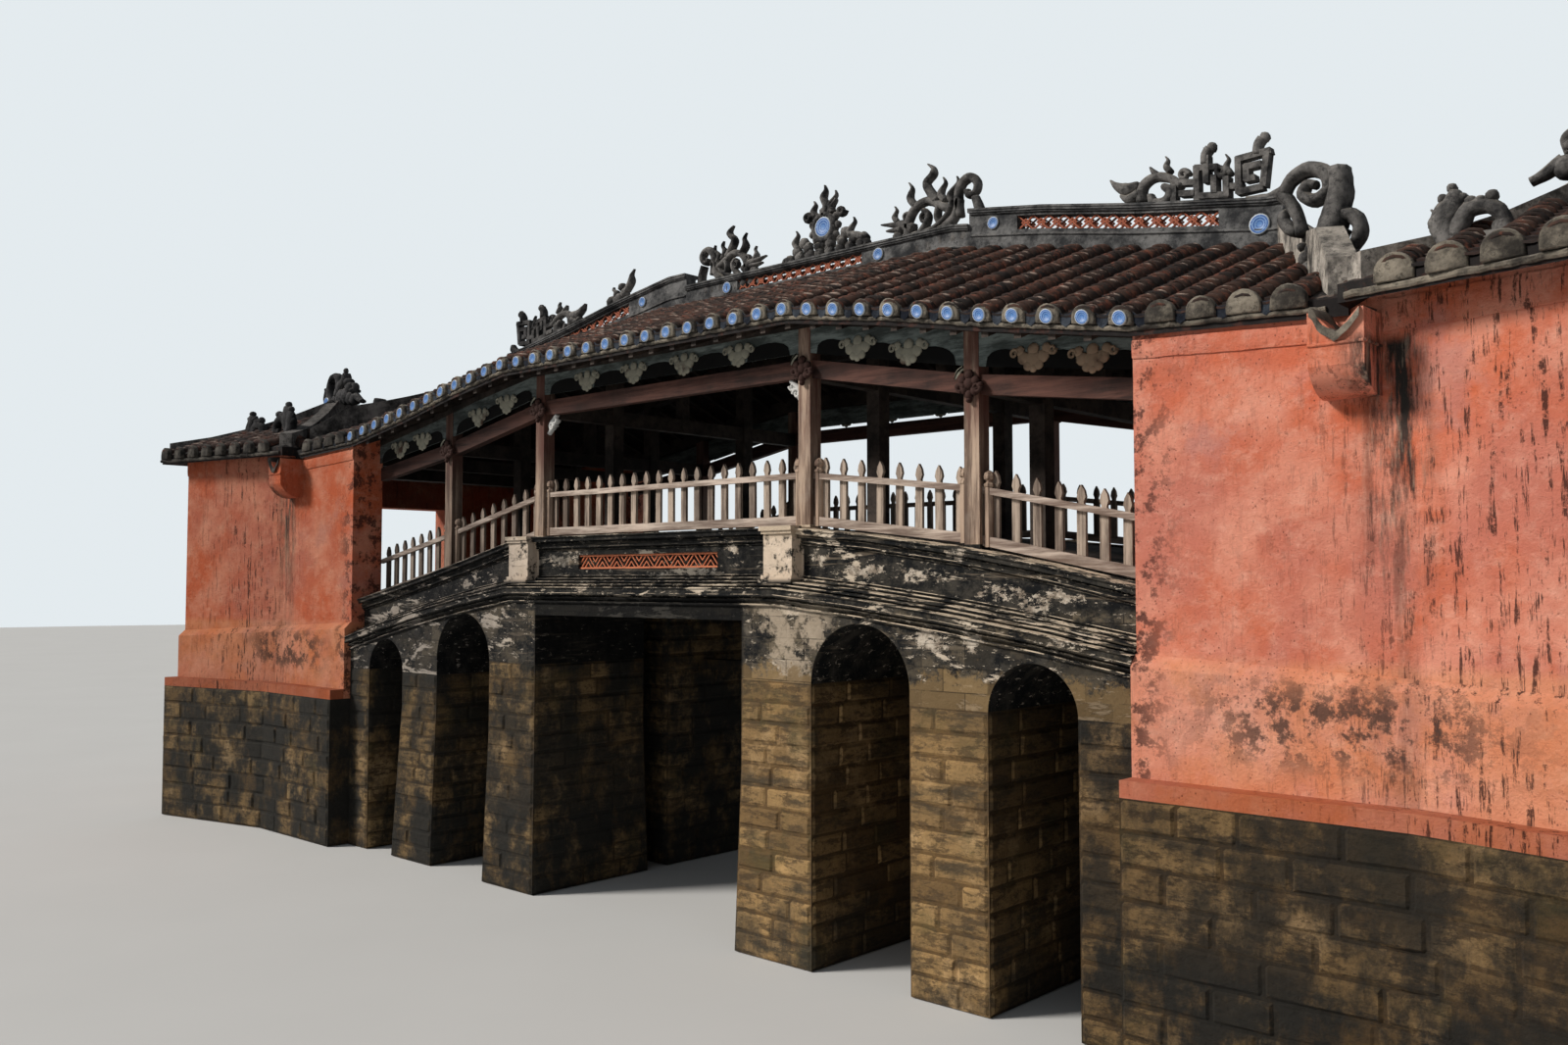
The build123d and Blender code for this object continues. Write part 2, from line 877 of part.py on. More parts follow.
with BuildPart() as hip_slopes:
    for side in sides:
        with BuildPart(mode=Mode.PRIVATE) as hip:
            add(hip_half_space(side, roof_thickness))
            add(hip_half_space(side, 0), mode=Mode.SUBTRACT)
            add(roof_member(under_section, [x for x in roof_stations if x * side > 0]), mode=Mode.INTERSECT)
            count = int((eave - hip_rib_pitch) / hip_rib_pitch)
            add([hip_rib(side, index * hip_rib_pitch) for index in range(-count, count + 1)])
        add(hip.part)


# Spaces under the roofs, to which walls and beams are cut
def hall_space(side):
    with BuildPart() as space:
        add(roof_member(under_section, [x for x in roof_stations if x * side > 0]))
        add(hip_half_space(side, roof_thickness), mode=Mode.SUBTRACT)
    return space.part


def gate_run(x):
    """Half width of a gate roof at the distance x along the bridge."""
    near, far = wall_line(valley) + gate_overhang, wall_line(gate_end) + gate_overhang
    return near + (far - near) * (x - valley) / (gate_end - valley)


def trim_above(corner, along, up_slope):
    """Cut away what lies above the plane through two directions."""
    normal = along.cross(up_slope)
    if normal.Z < 0:
        normal = -normal
    split(bisect_by=Plane(origin=corner, z_dir=normal), keep=Keep.BOTTOM)


def gate_space(side, lower):
    """Solid under the four planes of a gate roof, lowered by the given amount."""
    edge = gate_eave_foot + roof_thickness - lower
    with BuildPart() as space:
        with BuildSketch(Plane.XY.offset(street)):
            near, far = gate_run(valley), gate_run(gate_end)
            add(
                shape(
                    (side * valley, -near),
                    (side * gate_end, -far),
                    (side * gate_end, far),
                    (side * valley, near),
                )
            )
        extrude(amount=ridge_level - street)
        for face in (-1, 1):
            corner = Vector(side * valley, face * near, edge)
            along = Vector(side * (gate_end - valley), face * (far - near), 0)
            up_slope = Vector(0, -face, roof_slope)
            trim_above(corner, along, up_slope)
        for x in (valley, gate_end):
            corner = Vector(side * x, 0, edge)
            up_slope = Vector(side * (gate_ridge_place - x), 0, gate_ridge_level - lower - edge)
            trim_above(corner, Vector(0, 1, 0), up_slope)
    return space.part


def roof_space(side):
    with BuildPart() as space:
        add(hall_space(side))
        add(gate_space(side, roof_thickness))
    return space.part


# End walls: gate-house walls with a bevelled plinth, their tops cut to the roofs
def side_wall(side):
    near, far = plinth_heights
    with BuildPart() as wall:
        with BuildSketch(Plane.XY.offset(street)):
            add(wall_strip(side, wall_start, wall_thickness, 0))
        extrude(amount=ridge_level - street)
        add(roof_space(side), mode=Mode.INTERSECT)
    with BuildPart() as plinth:
        with BuildSketch(Plane.XY.offset(street)):
            add(wall_strip(side, wall_start, 0, plinth_projection))
        extrude(amount=near)
        with BuildSketch(Plane.XZ):
            add(
                shape(
                    (side * wall_start, street + near),
                    (side * wall_end, street + far),
                    (side * wall_end, street + 2 * near),
                    (side * wall_start, street + 2 * near),
                )
            )
        extrude(amount=2 * eave, mode=Mode.SUBTRACT)
        top_edges = plinth.edges().filter_by(lambda edge: edge.center().Z > street + far - 1)
        face_line = [(edge, wall_line(abs(edge.center().X))) for edge in top_edges]
        outer = [edge for edge, line in face_line if abs(edge.center().Y) > line + plinth_bevel]
        chamfer([edge for edge in outer if abs(edge.tangent_at(0.5).X) > 0.5], plinth_bevel)
    with BuildPart() as whole:
        add(wall.part)
        add(plinth.part)
        mirror(about=Plane.XZ)
    return whole.part


with BuildPart() as right_side_walls:
    add(side_wall(1))

with BuildPart() as left_side_walls:
    add(side_wall(-1))


def gate_wall(side):
    """Wall across the street end of a gate house, with its doorway cut through."""
    back = wall_end - wall_thickness
    with BuildPart() as wall:
        with BuildSketch(Plane.XY.offset(street)):
            add(both_walls(side, back, wall_end, -wall_thickness))
        extrude(amount=ridge_level - street)
        add(gate_space(side, roof_thickness), mode=Mode.INTERSECT)
        with BuildSketch(Plane.XY.offset(street)):
            with Locations((side * (wall_end - wall_thickness / 2), 0)):
                Rectangle(2 * wall_thickness, door_width)
        extrude(amount=door_head - street, mode=Mode.SUBTRACT)
    return wall.part


with BuildPart() as right_gate_wall:
    add(gate_wall(1))

with BuildPart() as left_gate_wall:
    add(gate_wall(-1))


def ramp(side):
    """Paved ramp from the deck down to the doorway."""
    back = wall_end - wall_thickness
    with BuildPart() as slope:
        with BuildSketch(Plane.XY.offset(street)):
            add(both_walls(side, wall_start, back, -wall_thickness))
            with Locations((side * (wall_end - wall_thickness / 2), 0)):
                Rectangle(wall_thickness, door_width)
        extrude(amount=ledge_top - street)
        with BuildSketch(Plane.XZ.offset(-eave)):
            add(
                shape(
                    (side * wall_start, street),
                    (side * wall_end, street),
                    (side * wall_end, ramp_foot),
                    (side * wall_start, deck_level(side, wall_start)),
                )
            )
        extrude(amount=2 * eave, mode=Mode.INTERSECT)
    return slope.part


with BuildPart() as right_ramp:
    add(ramp(1))

with BuildPart() as left_ramp:
    add(ramp(-1))

with BuildPart() as valley_beams:
    for side in sides:
        with BuildPart(mode=Mode.PRIVATE) as beam:
            with BuildSketch(Plane.XY.offset(valley_beam_foot)):
                with Locations((side * valley, 0)):
                    Rectangle(valley_beam_width, 2 * (arcade_face - wall_thickness))
            extrude(amount=ridge_level - valley_beam_foot)
            add(roof_space(side), mode=Mode.INTERSECT)
            with BuildSketch(Plane.XY.offset(valley_beam_foot + valley_beam_height)):
                Rectangle(4 * valley, 4 * eave)
            extrude(amount=ridge_level, mode=Mode.SUBTRACT)
        add(beam.part)


gate_edge = gate_eave_foot + roof_thickness
gate_ridge_half = gate_run(gate_ridge_place) - (gate_ridge_level - gate_edge) / roof_slope


def gate_side_rib(side, face, x):
    """Tile column from the eave over a long wall up beside the hip."""
    inner = (x - rib_hip_gap - valley) / (gate_ridge_place - valley)
    outer = (gate_end - rib_hip_gap - x) / (gate_end - gate_ridge_place)
    share = min(inner, outer)
    rise = share * (gate_ridge_level - gate_edge)
    head = (side * x, face * (gate_run(x) - rise / roof_slope), gate_edge + rise)
    return rib(head, (side * x, face * gate_run(x), gate_edge), (1, 0, 0))


def gate_end_rib(side, x, y):
    """Tile column on the end slope whose eave or valley is at x."""
    span = abs(gate_ridge_place - x)
    inward = 1 if x < gate_ridge_place else -1
    slope = (gate_ridge_level - gate_edge) / span
    widening = inward * (gate_run(gate_end) - gate_run(valley)) / (gate_end - valley)
    hip = roof_slope * (gate_run(x) - rib_hip_gap - abs(y)) / (slope - roof_slope * widening)
    reach = min(hip, span - ridge_width)
    head = (side * (x + inward * reach), y, gate_edge + slope * reach)
    return rib(head, (side * (x + inward * rib_height), y, gate_edge + slope * rib_height), (0, 1, 0))


def gate_roof(side):
    with BuildPart() as shell:
        add(gate_space(side, 0))
        add(gate_space(side, roof_thickness), mode=Mode.SUBTRACT)
        ribs = []
        for face in (-1, 1):
            for index in range(int((gate_end - valley - 2 * gate_rib_start) / gate_rib_pitch) + 1):
                ribs.append(gate_side_rib(side, face, valley + gate_rib_start + index * gate_rib_pitch))
        for x in (valley, gate_end):
            count = int((gate_run(x) - gate_rib_start) / gate_rib_pitch)
            for index in range(-count, count + 1):
                ribs.append(gate_end_rib(side, x, index * gate_rib_pitch))
        add(ribs)
    return shell.part


with BuildPart() as right_gate_roof:
    add(gate_roof(1))

with BuildPart() as left_gate_roof:
    add(gate_roof(-1))

# Curbs along the foot of the end walls
with BuildPart() as wall_curbs:
    for side in sides:
        with BuildSketch(Plane.XY.offset(street)):
            add(wall_strip(side, wall_start, -plinth_projection, curb_projection))
        extrude(amount=curb_height)
    mirror(about=Plane.XZ)

# Rain spouts: brackets with a rounded belly and a gutter cut in the top, under each valley
with BuildPart() as rain_spouts:
    reach = arcade_face + spout_projection
    for side in sides:
        low, high = sorted((side * spout_start, side * spout_end))
        with BuildSketch(Plane.YZ.offset(low)):
            with BuildLine():
                Polyline(
                    (-arcade_face, spout_foot),
                    (-arcade_face, spout_top),
                    (-reach, spout_top),
                    (-reach, spout_belly),
                )
                ThreePointArc(
                    (-reach, spout_belly),
                    (-arcade_face - 0.7 * spout_projection, spout_foot + 0.3 * (spout_belly - spout_foot)),
                    (-arcade_face, spout_foot),
                )
            make_face()
        extrude(amount=high - low)
        with BuildSketch(Plane.XZ.offset(arcade_face)):
            middle = (low + high) / 2
            add(
                shape(
                    (middle - gutter_width / 2, spout_top),
                    (middle + gutter_width / 2, spout_top),
                    (middle, spout_top - gutter_depth),
                )
            )
        extrude(amount=spout_projection, mode=Mode.SUBTRACT)
    mirror(about=Plane.XZ)


# Ridge walls stand astride the ridge under a wider cap and are pierced by a lattice
def ridge_wall(start, end, height):
    places = [start] + [x for x in roof_stations if start < x < end] + [end]
    half = ridge_width / 2
    cap = ridge_cap_width / 2
    low = ridge_level + height - ridge_cap_height
    high = ridge_level + height
    seat = ridge_level - roof_slope * half
    with BuildPart() as wall:
        add(roof_member(((-half, seat), (0, ridge_level), (half, seat), (half, low), (-half, low)), places))
        add(roof_member(((-cap, low), (cap, low), (cap, high), (-cap, high)), places))
    return wall.part


def ridge_window(start, end, foot, head):
    """Slot through the ridge wall, its ends plumb and its foot following the ridge."""
    places = [start] + [x for x in roof_stations if start < x < end] + [end]
    low = [(x, ridge_level + foot - roof_fall(x)) for x in places]
    high = [(x, ridge_level + head - roof_fall(x)) for x in reversed(places)]
    return shape(*low, *high)


with BuildPart() as center_ridge:
    add(ridge_wall(*center_ridge_ends, center_ridge_height))
    with BuildSketch(Plane.XZ.offset(-ridge_width)):
        add(ridge_window(-center_window_half, center_window_half, center_window_foot, center_window_head))
    extrude(amount=2 * ridge_width, mode=Mode.SUBTRACT)

with BuildPart() as side_ridges:
    for side, inner_end in zip(sides, reversed(center_ridge_ends)):
        start, end = sorted((inner_end, side * end_block_end))
        add(ridge_wall(start, end, side_ridge_height))
        with BuildSketch(Plane.XZ.offset(-ridge_width)):
            start, end = sorted((side * side_window_start, side * side_window_end))
            add(ridge_window(start, end, side_window_foot, side_window_head))
        extrude(amount=2 * ridge_width, mode=Mode.SUBTRACT)


# Hip ridges: heavy walls down the hips, dipped in the middle and raised at the foot
def hip_plane(side):
    """Upright plane through the front hip line, X running down the hip."""
    return Plane(
        origin=(side * hip_start, 0, 0),
        x_dir=(side * hip_length, -eave, 0),
        z_dir=(-eave, -side * hip_length, 0),
    )


hip_run = (hip_length**2 + eave**2) ** 0.5
hip_ridge_end = hip_run - hip_ridge_end_gap
hip_shoulder = hip_run - hip_shoulder_gap


def hip_level(run):
    return hip_top - (hip_top - hip_foot) * run / hip_run


with BuildPart() as hip_ridges:
    for side in sides:
        with BuildSketch(hip_plane(side)):
            with BuildLine():
                Polyline(
                    (hip_ridge_start, hip_level(hip_ridge_start) + hip_ridge_height),
                    (hip_ridge_start, hip_level(hip_ridge_start) - hip_ridge_bed),
                    (hip_ridge_end, hip_level(hip_ridge_end) - hip_ridge_bed),
                    (hip_ridge_end, hip_level(hip_ridge_end) + hip_ridge_height),
                    (hip_shoulder, hip_level(hip_shoulder) + hip_shoulder_height),
                )
                ThreePointArc(
                    (hip_shoulder, hip_level(hip_shoulder) + hip_shoulder_height),
                    (hip_dip, hip_level(hip_dip) + hip_dip_height),
                    (hip_ridge_start, hip_level(hip_ridge_start) + hip_ridge_height),
                )
            make_face()
        extrude(amount=hip_ridge_width / 2, both=True)
    mirror(about=Plane.XZ)
    add(front_roof_slope.part, mode=Mode.SUBTRACT)
    add(back_roof_slope.part, mode=Mode.SUBTRACT)
    add(hip_slopes.part, mode=Mode.SUBTRACT)
    add(side_ridges.part, mode=Mode.SUBTRACT)


# Gate ridges: a short ridge across each gate and curved walls up its four hips
def gate_hip_plane(side, x):
    """Upright plane through the front gate hip that starts at x, X running up the hip."""
    run = Vector(side * (gate_ridge_place - x), gate_run(x) - gate_ridge_half, 0)
    return Plane(origin=(side * x, -gate_run(x), 0), x_dir=run, z_dir=(run.Y, -run.X, 0))


with BuildPart() as gate_ridges:
    for side in sides:
        for x in (valley, gate_end):
            length = Vector(gate_ridge_place - x, gate_run(x) - gate_ridge_half, 0).length
            middle = (gate_hip_start + length) / 2
            rise = (gate_ridge_level - gate_edge) / length
            foot = gate_edge + rise * gate_hip_start
            with BuildSketch(gate_hip_plane(side, x)):
                with BuildLine():
                    Polyline(
                        (gate_hip_start, foot - gate_hip_bed),
                        (length, gate_ridge_level - gate_hip_bed),
                        *bent(
                            (length, gate_ridge_level + gate_hip_head_height),
                            (middle, gate_edge + rise * middle + gate_hip_middle_height),
                            (gate_hip_start, foot + gate_hip_foot_height),
                        ),
                        close=True,
                    )
                make_face()
            extrude(amount=gate_hip_width / 2, both=True)
        with BuildSketch(Plane.XZ.offset(-gate_ridge_half)):
            middle = gate_ridge_level + (gate_top_ridge_height - gate_hip_bed) / 2
            with Locations((side * gate_ridge_place, middle)):
                Rectangle(ridge_width, gate_top_ridge_height + gate_hip_bed)
        extrude(amount=2 * gate_ridge_half)
    mirror(about=Plane.XZ)
    add(right_gate_roof.part, mode=Mode.SUBTRACT)
    add(left_gate_roof.part, mode=Mode.SUBTRACT)


# Ornaments: mortar scrolls and flames, upright plates on the ridges
def standing(place, foot, hand, size, points):
    """Outline drawn from its foot outward, set on a ridge at a place and a level."""
    return shape(*[(place + hand * size * x, foot + size * z) for x, z in points])


def tongue(x, z, lean, height):
    """Points of a flame with a bent tip."""
    half = ornament_bar / 2
    tip = x + lean
    bend = z + height * 0.6
    return (x - half, z), (x + half, z), (tip + half, bend), (tip, z + height), (tip - half, bend)


# Sun over a stepped cloud, with flames around it
sun_flames = (
    (-480, 30, 30, 360),
    (480, 30, -40, 330),
    (0, 560, 20, 330),
    (130, 500, 20, 290),
    (-170, 480, -20, 220),
)

with BuildPart() as ridge_sun:
    foot = ridge_level + center_ridge_height
    half = sun_base / 2
    cloud = ((-half, 0), (half, 0), (half * 0.4, sun_height), (-half * 0.4, sun_height))
    with BuildSketch(Plane.XZ.offset(-ornament_depth / 2)):
        add(standing(sun_place, foot, 1, 1, cloud))
        with Locations((sun_place, foot + sun_height)):
            RegularPolygon(sun_radius, 10)
        for flame in sun_flames:
            add(standing(sun_place, foot, 1, 1, tongue(*flame)))
    extrude(amount=ornament_depth)

# Dragons with a raised tail, facing the sun; distances run from the snout to the tail
dragon_body = (
    (300, 0),
    (1230, 0),
    (1360, 100),
    (1420, 420),
    (1300, 580),
    (1150, 480),
    (1060, 330),
    (800, 420),
    (480, 350),
    (360, 220),
)
dragon_head = ((140, 60), (420, 40), (480, 260), (300, 250), (0, 260), (0, 220), (200, 160))
dragon_flames = (
    (560, 350, -120, 340),
    (820, 380, -80, 420),
    (960, 300, 0, 310),
    (1080, 300, 60, 290),
    (300, 200, -60, 220),
)
dragon_holes = ((680, 190, 110), (1270, 430, 60))

with BuildPart() as ridge_dragons:
    for side, snout, size in ((-1, left_dragon_snout, left_dragon_size), (1, right_dragon_snout, 1)):
        with BuildSketch(Plane.XZ.offset(-ornament_depth / 2)):
            add(standing(snout, dragon_level, side, size, dragon_body))
            add(standing(snout, dragon_level, side, size, dragon_head))
            for flame in dragon_flames:
                add(standing(snout, dragon_level, side, size, tongue(*flame)))
            for x, z, radius in dragon_holes:
                with Locations((snout + side * size * x, dragon_level + size * z)):
                    RegularPolygon(size * radius, 8, mode=Mode.SUBTRACT)
        extrude(amount=ornament_depth)
    add(center_ridge.part, mode=Mode.SUBTRACT)
    add(side_ridges.part, mode=Mode.SUBTRACT)

# Frets: crossed bars over a band that follows the falling ridge
with BuildPart() as ridge_frets:
    cell = (fret_end - fret_start) / fret_cells
    foot = ridge_level + side_ridge_height
    places = [fret_start] + [x for x in half_stations if fret_start < x < fret_end] + [fret_end]
    for side in sides:
        with BuildSketch(Plane.XZ.offset(-ornament_depth / 2)):
            for index in range(fret_cells):
                x = fret_start + (index + 0.5) * cell
                band = foot - roof_fall(x) + fret_base
                with Locations((side * x, band + fret_height / 2)):
                    Rectangle(cell + 1, ornament_bar)
                    Rectangle(ornament_bar, fret_height)
                with Locations((side * x, band + fret_height)):
                    Rectangle(cell * 0.7, ornament_bar)
            low = [(side * x, foot - roof_fall(x)) for x in places]
            high = [(side * x, foot - roof_fall(x) + fret_base) for x in reversed(places)]
            add(shape(*low, *high))
        extrude(amount=ornament_depth)

# Scrolls on the hips of the hall; the one at the front left is a broken stump
scroll_stem = ((330, -250), (640, -250), (700, 140), (620, 300), (630, 740), (440, 740), (400, 300))
scroll_stump = scroll_stem[:3] + ((480, 330), (400, 200))
scroll_eye = (250, 620)
scroll_radius = 220
scroll_hole = 100

with BuildPart() as hip_scrolls:
    foot = hip_level(scroll_share * hip_run) + scroll_rise
    for side in sides:
        start = side * (hip_start + scroll_share * hip_length - scroll_inset)
        for face in (-1, 1):
            with BuildSketch(Plane.XZ.offset(-face * scroll_share * eave - ornament_depth / 2)):
                if side < 0 and face < 0:
                    add(standing(start, foot, side, scroll_size, scroll_stump))
                else:
                    add(standing(start, foot, side, scroll_size, scroll_stem))
                    x, z = scroll_eye
                    with Locations((start + side * scroll_size * x, foot + scroll_size * z)):
                        RegularPolygon(scroll_size * scroll_radius, 12)
                        RegularPolygon(scroll_size * scroll_hole, 8, mode=Mode.SUBTRACT)
            extrude(amount=ornament_depth)
    add(hip_ridges.part, mode=Mode.SUBTRACT)
    add(front_roof_slope.part, mode=Mode.SUBTRACT)
    add(back_roof_slope.part, mode=Mode.SUBTRACT)
    add(hip_slopes.part, mode=Mode.SUBTRACT)

# Scrolls over both ends of each gate ridge
gate_group = (
    (-480, 0),
    (480, 0),
    (430, 200),
    (250, 380),
    (140, 600),
    (40, 600),
    (-60, 380),
    (-90, 500),
    (-280, 540),
    (-400, 380),
    (-430, 180),
)
gate_group_eye = (-220, 340)
gate_group_hole = 80

with BuildPart() as gate_scrolls:
    foot = gate_ridge_level + gate_top_ridge_height
    for side in sides:
        with BuildSketch(Plane.XZ.offset(gate_ridge_half - gate_scroll_inset)):
            add(standing(side * gate_ridge_place, foot, -side, 1, gate_group))
            x, z = gate_group_eye
            with Locations((side * (gate_ridge_place - x), foot + z)):
                RegularPolygon(gate_group_hole, 6, mode=Mode.SUBTRACT)
        extrude(amount=-ornament_depth)
    mirror(about=Plane.XZ)

main_piers.part.label = "main_piers"
export_step(main_piers.part, "parts/main_piers.step")
small_piers.part.label = "small_piers"
export_step(small_piers.part, "parts/small_piers.step")
middle_piers.part.label = "middle_piers"
export_step(middle_piers.part, "parts/middle_piers.step")
middle_tie_beam.part.label = "middle_tie_beam"
export_step(middle_tie_beam.part, "parts/middle_tie_beam.step")
right_arches.part.label = "right_arches"
export_step(right_arches.part, "parts/right_arches.step")
left_arches.part.label = "left_arches"
export_step(left_arches.part, "parts/left_arches.step")
lintels.part.label = "lintels"
export_step(lintels.part, "parts/lintels.step")
right_abutment.part.label = "right_abutment"
export_step(right_abutment.part, "parts/right_abutment.step")
left_abutment.part.label = "left_abutment"
export_step(left_abutment.part, "parts/left_abutment.step")
parapets.part.label = "parapets"
export_step(parapets.part, "parts/parapets.step")
parapet_lattices.part.label = "parapet_lattices"
export_step(parapet_lattices.part, "parts/parapet_lattices.step")
center_girders.part.label = "center_girders"
export_step(center_girders.part, "parts/center_girders.step")
side_girders.part.label = "side_girders"
export_step(side_girders.part, "parts/side_girders.step")
center_deck.part.label = "center_deck"
export_step(center_deck.part, "parts/center_deck.step")
side_decks.part.label = "side_decks"
export_step(side_decks.part, "parts/side_decks.step")
outer_posts.part.label = "outer_posts"
export_step(outer_posts.part, "parts/outer_posts.step")
inner_posts.part.label = "inner_posts"
export_step(inner_posts.part, "parts/inner_posts.step")
eave_beams.part.label = "eave_beams"
export_step(eave_beams.part, "parts/eave_beams.step")
tie_beams.part.label = "tie_beams"
export_step(tie_beams.part, "parts/tie_beams.step")
king_posts.part.label = "king_posts"
export_step(king_posts.part, "parts/king_posts.step")
wall_plates.part.label = "wall_plates"
export_step(wall_plates.part, "parts/wall_plates.step")
inner_purlins.part.label = "inner_purlins"
export_step(inner_purlins.part, "parts/inner_purlins.step")
ridge_purlin.part.label = "ridge_purlin"
export_step(ridge_purlin.part, "parts/ridge_purlin.step")
friezes.part.label = "friezes"
export_step(friezes.part, "parts/friezes.step")
front_railings.part.label = "front_railings"
export_step(front_railings.part, "parts/front_railings.step")
back_railings.part.label = "back_railings"
export_step(back_railings.part, "parts/back_railings.step")
front_pickets.part.label = "front_pickets"
export_step(front_pickets.part, "parts/front_pickets.step")
back_pickets.part.label = "back_pickets"
export_step(back_pickets.part, "parts/back_pickets.step")
front_roof_slope.part.label = "front_roof_slope"
export_step(front_roof_slope.part, "parts/front_roof_slope.step")
back_roof_slope.part.label = "back_roof_slope"
export_step(back_roof_slope.part, "parts/back_roof_slope.step")
hip_slopes.part.label = "hip_slopes"
export_step(hip_slopes.part, "parts/hip_slopes.step")
right_side_walls.part.label = "right_side_walls"
export_step(right_side_walls.part, "parts/right_side_walls.step")
left_side_walls.part.label = "left_side_walls"
export_step(left_side_walls.part, "parts/left_side_walls.step")
right_gate_wall.part.label = "right_gate_wall"
export_step(right_gate_wall.part, "parts/right_gate_wall.step")
left_gate_wall.part.label = "left_gate_wall"
export_step(left_gate_wall.part, "parts/left_gate_wall.step")
right_ramp.part.label = "right_ramp"
export_step(right_ramp.part, "parts/right_ramp.step")
left_ramp.part.label = "left_ramp"
export_step(left_ramp.part, "parts/left_ramp.step")
valley_beams.part.label = "valley_beams"
export_step(valley_beams.part, "parts/valley_beams.step")
right_gate_roof.part.label = "right_gate_roof"
export_step(right_gate_roof.part, "parts/right_gate_roof.step")
left_gate_roof.part.label = "left_gate_roof"
export_step(left_gate_roof.part, "parts/left_gate_roof.step")
wall_curbs.part.label = "wall_curbs"
export_step(wall_curbs.part, "parts/wall_curbs.step")
rain_spouts.part.label = "rain_spouts"
export_step(rain_spouts.part, "parts/rain_spouts.step")
center_ridge.part.label = "center_ridge"
export_step(center_ridge.part, "parts/center_ridge.step")
side_ridges.part.label = "side_ridges"
export_step(side_ridges.part, "parts/side_ridges.step")
hip_ridges.part.label = "hip_ridges"
export_step(hip_ridges.part, "parts/hip_ridges.step")
gate_ridges.part.label = "gate_ridges"
export_step(gate_ridges.part, "parts/gate_ridges.step")
ridge_sun.part.label = "ridge_sun"
export_step(ridge_sun.part, "parts/ridge_sun.step")
ridge_dragons.part.label = "ridge_dragons"
export_step(ridge_dragons.part, "parts/ridge_dragons.step")
ridge_frets.part.label = "ridge_frets"
export_step(ridge_frets.part, "parts/ridge_frets.step")
hip_scrolls.part.label = "hip_scrolls"
export_step(hip_scrolls.part, "parts/hip_scrolls.step")
gate_scrolls.part.label = "gate_scrolls"
export_step(gate_scrolls.part, "parts/gate_scrolls.step")
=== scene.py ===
import bpy
import random
from math import cos, hypot, pi, radians, sin, tau
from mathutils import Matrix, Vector, noise


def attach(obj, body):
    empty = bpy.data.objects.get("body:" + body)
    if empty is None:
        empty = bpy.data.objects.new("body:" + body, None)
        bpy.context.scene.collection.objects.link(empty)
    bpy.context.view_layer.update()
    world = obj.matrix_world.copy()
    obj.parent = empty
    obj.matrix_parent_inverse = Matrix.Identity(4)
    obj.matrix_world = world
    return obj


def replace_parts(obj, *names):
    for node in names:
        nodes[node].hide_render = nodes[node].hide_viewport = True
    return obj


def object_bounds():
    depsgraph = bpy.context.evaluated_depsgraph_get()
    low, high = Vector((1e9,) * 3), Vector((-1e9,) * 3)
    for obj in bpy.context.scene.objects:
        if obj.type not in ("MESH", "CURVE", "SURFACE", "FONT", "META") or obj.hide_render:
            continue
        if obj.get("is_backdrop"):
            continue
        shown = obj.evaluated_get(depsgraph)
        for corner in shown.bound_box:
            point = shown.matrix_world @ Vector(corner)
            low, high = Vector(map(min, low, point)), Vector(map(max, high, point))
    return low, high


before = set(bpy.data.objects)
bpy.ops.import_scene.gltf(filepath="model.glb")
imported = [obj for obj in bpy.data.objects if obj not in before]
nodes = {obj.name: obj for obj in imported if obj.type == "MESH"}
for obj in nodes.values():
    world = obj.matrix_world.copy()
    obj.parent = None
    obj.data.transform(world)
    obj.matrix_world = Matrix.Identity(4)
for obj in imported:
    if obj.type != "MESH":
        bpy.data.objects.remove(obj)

scene = bpy.context.scene
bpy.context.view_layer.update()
random.seed(11)

# Both ends or both long faces of the bridge, and its four corners
SIDES = (-1, 1)
CORNERS = [(side, face) for side in SIDES for face in SIDES]
X_AXIS, Y_AXIS = Vector((1, 0, 0)), Vector((0, 1, 0))

# Sizes in metres, as in the frame
STREET = 2
CENTER_POST = 2.18
SIDE_POST = 4.18
WALL_START = 5.96
PEDESTAL = 2.13
SPLAY_START = 8
WALL_END = 10.2
ARCADE_FACE = 2.78
OUTER_ROW = 2.3
FRIEZE_FACE = 2.385
MAIN_PIER = (1.7, 2.62)
SMALL_PIER = (3.78, 4.6)
PIER_INNER = 1.1
ABUTMENT = 5.45
SPRING_LEVEL = {1: 2.52, -1: 2.43}
EAVE = 2.82
EAVE_FOOT = 6.11
ROOF_THICKNESS = 0.13
RIDGE_LEVEL = 7.34
MIDDLE_RIDGE = 0.3
SIDE_RIDGE = 0.47
VALLEY = 7.6
HIP_START = 6.1
ROOF_BREAKS = ((2.35, 0), (3.54, 0.18), (4.6, 0.38), (WALL_START, 0.6), (VALLEY, 0.67))
ROOF_SLOPE = (RIDGE_LEVEL - EAVE_FOOT - ROOF_THICKNESS) / EAVE
GATE_EAVE = 5.49
GATE_TOP = 6.35
GATE_RIDGE = 9.06
GATE_END = 10.45
STREET_HALF = 3.6
SPOUT = (7.43, 7.8)
GATE_OVERHANG = 0.25


def between(breaks, x):
    """Value at x on straight lines from the origin through the breaks."""
    last = (0, 0)
    for here in breaks:
        if x <= here[0]:
            return last[1] + (here[1] - last[1]) * (x - last[0]) / (here[0] - last[0])
        last = here
    return last[1]


def roof_fall(x):
    return between(ROOF_BREAKS, abs(x))


def roof_top(x, y):
    """Top of the roof slabs under the tiles."""
    return RIDGE_LEVEL - roof_fall(x) - ROOF_SLOPE * abs(y)


def wall_line(x):
    """Half width of the side walls, which splay toward the street."""
    return ARCADE_FACE + 0.53 * max(0, abs(x) - SPLAY_START) / (WALL_END - SPLAY_START)


